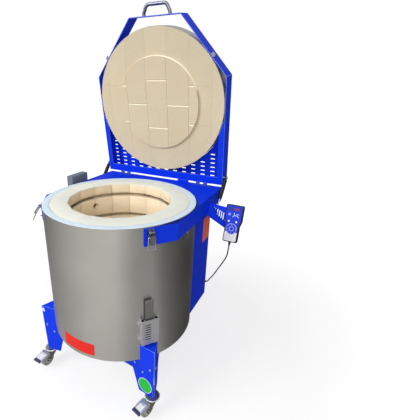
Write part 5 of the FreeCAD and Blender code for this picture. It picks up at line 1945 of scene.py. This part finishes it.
@dataclass
class ControllerCord:
    """The lead from the hand controller to the gland in the rear box."""

    radius: float = 3.0
    length: float = 0.525
    route: Sequence[Point] = (
        (483.0, 173.2, 731.2), (483.0, 160.4, 689.2), (475.0, 182.0, 646.0), (457.0, 210.0, 603.0),
        (438.0, 231.0, 562.0), (418.0, 252.0, 522.0), (400.0, 276.0, 483.0), (381.0, 301.0, 445.0),
        (362.0, 327.0, 409.0), (345.0, 351.0, 379.0), (331.0, 378.0, 349.0), (318.0, 396.0, 330.0),
        (296.0, 396.0, 330.0))

    def build(self) -> None:
        """Makes the cord, one smooth line through the route."""
        data = bpy.data.curves.new("controller_lead", "CURVE")
        data.dimensions = "3D"
        data.bevel_depth = self.radius * MM
        data.bevel_resolution = 5
        data.resolution_u = 10
        data.use_fill_caps = True
        spline = data.splines.new("NURBS")
        spline.points.add(len(self.route) - 1)
        for point, spot in zip(spline.points, self.route):
            point.co = (*place(*spot), 1.0)
        spline.order_u = 3
        spline.use_endpoint_u = True
        item = linked("controller_lead", data)
        data.materials.append(RUBBER.material())
        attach(item, "kiln")
        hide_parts("controller_cord")
        log.info("controller_lead on kiln")


# Studio


@dataclass(frozen=True)
class Lamp:
    """A square soft lamp aimed at a point, in metres from the chamber floor."""

    name: str
    spot: Point
    target: Point
    size: float
    power: float

    def make(self) -> None:
        """Hangs the lamp."""
        data = bpy.data.lights.new(self.name, "AREA")
        data.shape = "SQUARE"
        data.size = self.size
        data.energy = self.power
        item = linked(self.name, data)
        item.location = self.spot
        item.rotation_euler = (Vector(self.target) - Vector(self.spot)).to_track_quat("-Z", "Y").to_euler()


@dataclass
class Studio:
    """Camera, lamps, floor and surroundings."""

    camera_spot: Point = (820.95, -1198.2, 1402.02)
    azimuth: float = 28.73
    elevation: float = 21.57
    roll: float = 0.3166
    focal_pixels: float = 328.56
    centre_pixels: tuple[float, float] = (151.33, 213.61)
    frame_pixels: float = 420.0
    sensor: float = 36.0
    ambient: float = 0.32
    floor_glow: float = 0.72
    warmth: tuple[float, float] = (0.98, 0.93)
    room: Sequence[tuple[float, float]] = (
        (-180.0, 0.25), (-130.0, 0.24), (-95.0, 0.27), (-60.0, 0.36), (-30.0, 0.43), (-5.0, 0.58), (22.0, 0.58),
        (45.0, 0.36), (62.0, 0.38), (74.0, 0.46), (88.0, 0.24), (110.0, 0.15), (140.0, 0.09), (165.0, 0.13),
        (180.0, 0.25))
    floor_size: float = 14.0
    floor_drop: float = 0.0005
    lamps: Sequence[Lamp] = (
        Lamp("key lamp", (-2.2, -3.0, 2.8), (0.0, 0.0, 0.45), 2.2, 124.0),
        Lamp("fill lamp", (1.7, -3.4, 2.4), (0.0, 0.0, 0.4), 2.2, 80.0),
        Lamp("top lamp", (-0.3, -0.3, 3.8), (0.0, 0.0, 0.0), 2.0, 18.0))

    def make_camera(self) -> None:
        """The camera, standing where the photograph was taken."""
        data = bpy.data.cameras.new("camera")
        item = linked("camera", data)
        turn = radians(self.azimuth)
        dip = radians(self.elevation)
        ahead = Vector((-sin(turn) * cos(dip), cos(turn) * cos(dip), -sin(dip)))
        side = ahead.cross(on_axis(1.0)).normalized()
        above = side.cross(ahead)
        lean = radians(self.roll)
        right = side * cos(lean) + above * sin(lean)
        up = above * cos(lean) - side * sin(lean)
        pose = Matrix((right, up, -ahead)).transposed().to_4x4()
        pose.translation = place(*self.camera_spot)
        item.matrix_world = pose
        data.sensor_width = self.sensor
        data.sensor_fit = "HORIZONTAL"
        data.lens = self.focal_pixels / self.frame_pixels * self.sensor
        half = self.frame_pixels / 2
        data.shift_x = (half - self.centre_pixels[0]) / self.frame_pixels
        data.shift_y = (self.centre_pixels[1] - half) / self.frame_pixels
        data.clip_start = 0.05
        data.clip_end = 60.0
        bpy.context.scene.camera = item

    def backdrop(self, tree: Tree, spot: Socket) -> Socket:
        """How bright the studio is in each direction round the kiln, as metal shows it.

        Args:
            tree: the tree of the world or the floor.
            spot: the direction, or the point on the floor.

        Returns:
            The colour.
        """
        parts = tree.add("ShaderNodeSeparateXYZ", {0: spot}).outputs
        away = tree.math("ARCTAN2", parts["X"], tree.math("MULTIPLY", parts["Y"], -1.0))
        ramp = tree.add("ShaderNodeValToRGB", {"Fac": tree.ramp(away, -pi, pi)})
        stops = ramp.color_ramp.elements
        for _ in self.room[1:-1]:
            stops.new(0.5)
        for stop, (angle, level) in zip(stops, self.room):
            stop.position = (angle + 180.0) / 360.0
            stop.color = (level, level * self.warmth[0], level * self.warmth[1], 1.0)
        return ramp.outputs["Color"]

    def make_world(self) -> None:
        """A white background, which metal and glass show too, graded round the room; the rest is soft grey."""
        world = bpy.data.worlds.new("room")
        bpy.context.scene.world = world
        world.use_nodes = True
        tree = Tree(world.node_tree)
        world.node_tree.nodes.clear()
        way = tree.add("ShaderNodeTexCoord").outputs["Generated"]
        rise = tree.add("ShaderNodeSeparateXYZ", {0: way}).outputs["Z"]
        shown = tree.blend(tree.ramp(rise, 0.05, 0.8), self.backdrop(tree, way), (0.8, 0.8, 0.8, 1.0))
        path = tree.add("ShaderNodeLightPath").outputs
        mirrored = tree.math("ADD", path["Is Glossy Ray"], path["Is Transmission Ray"])
        ambient = (self.ambient, self.ambient, self.ambient * 1.03, 1.0)
        room = tree.blend(mirrored, ambient, shown)
        strength = tree.blend(path["Is Camera Ray"], room, (1.0, 1.0, 1.0, 1.0))
        shade = tree.add("ShaderNodeBackground", {"Color": strength, "Strength": 1.0})
        out = tree.add("ShaderNodeOutputWorld")
        world.node_tree.links.new(shade.outputs[0], out.inputs[0])

    def make_floor(self) -> None:
        """A plain pale floor that keeps the shadow."""
        size = self.floor_size
        data = bpy.data.meshes.new("floor")
        z = -FLOOR_HEIGHT * MM - self.floor_drop
        data.from_pydata([(-size, -size, z), (size, -size, z), (size, size, z), (-size, size, z)], [],
                         [(0, 1, 2, 3)])
        item = linked("floor", data)
        made = bpy.data.materials.new("floor")
        made.use_nodes = True
        tree = Tree(made.node_tree)
        shader = made.node_tree.nodes["Principled BSDF"]
        for socket, value in (("Roughness", 0.9), ("Specular IOR Level", 0.1),
                              ("Emission Color", (1.0, 1.0, 1.0, 1.0))):
            shader.inputs[socket].default_value = value
        path = tree.add("ShaderNodeLightPath").outputs
        spot = tree.spot()
        mirrored = tree.math("ADD", path["Is Glossy Ray"], path["Is Transmission Ray"])
        plain = tree.blend(mirrored, (0.72, 0.72, 0.72, 1.0), self.backdrop(tree, spot))
        colour = tree.blend(path["Is Camera Ray"], plain, (0.3, 0.3, 0.3, 1.0))
        made.node_tree.links.new(colour, shader.inputs["Base Color"])
        reach = tree.add("ShaderNodeVectorMath", {0: spot}, operation="LENGTH").outputs["Value"]
        seen = tree.math("MULTIPLY", path["Is Camera Ray"], tree.ramp(reach, 1.0, 2.6, self.floor_glow, 1.0))
        made.node_tree.links.new(seen, shader.inputs["Emission Strength"])
        data.materials.append(made)

    def build(self) -> None:
        """Sets up the whole studio."""
        bpy.context.scene.view_settings.view_transform = "Standard"
        self.make_camera()
        self.make_world()
        self.make_floor()
        for lamp in self.lamps:
            lamp.make()


def main() -> None:
    """Builds the studio and every piece."""
    Studio().build()
    dress_nodes()
    ControllerCord().build()
    Drum().build()
    Lid().build()
    for sheet in SOFTENED:
        sheet.make()
    InletShadowSheets().build()
    for castor in CASTORS:
        castor.build()
    make_latch_bases()
    for latch in LATCHES:
        latch.build()
    HandController().build()
    for side in (-1, 1):
        GasStrut(side).build()
    Plates().build()
    log.info("finished")


if __name__ == "__main__":
    main()
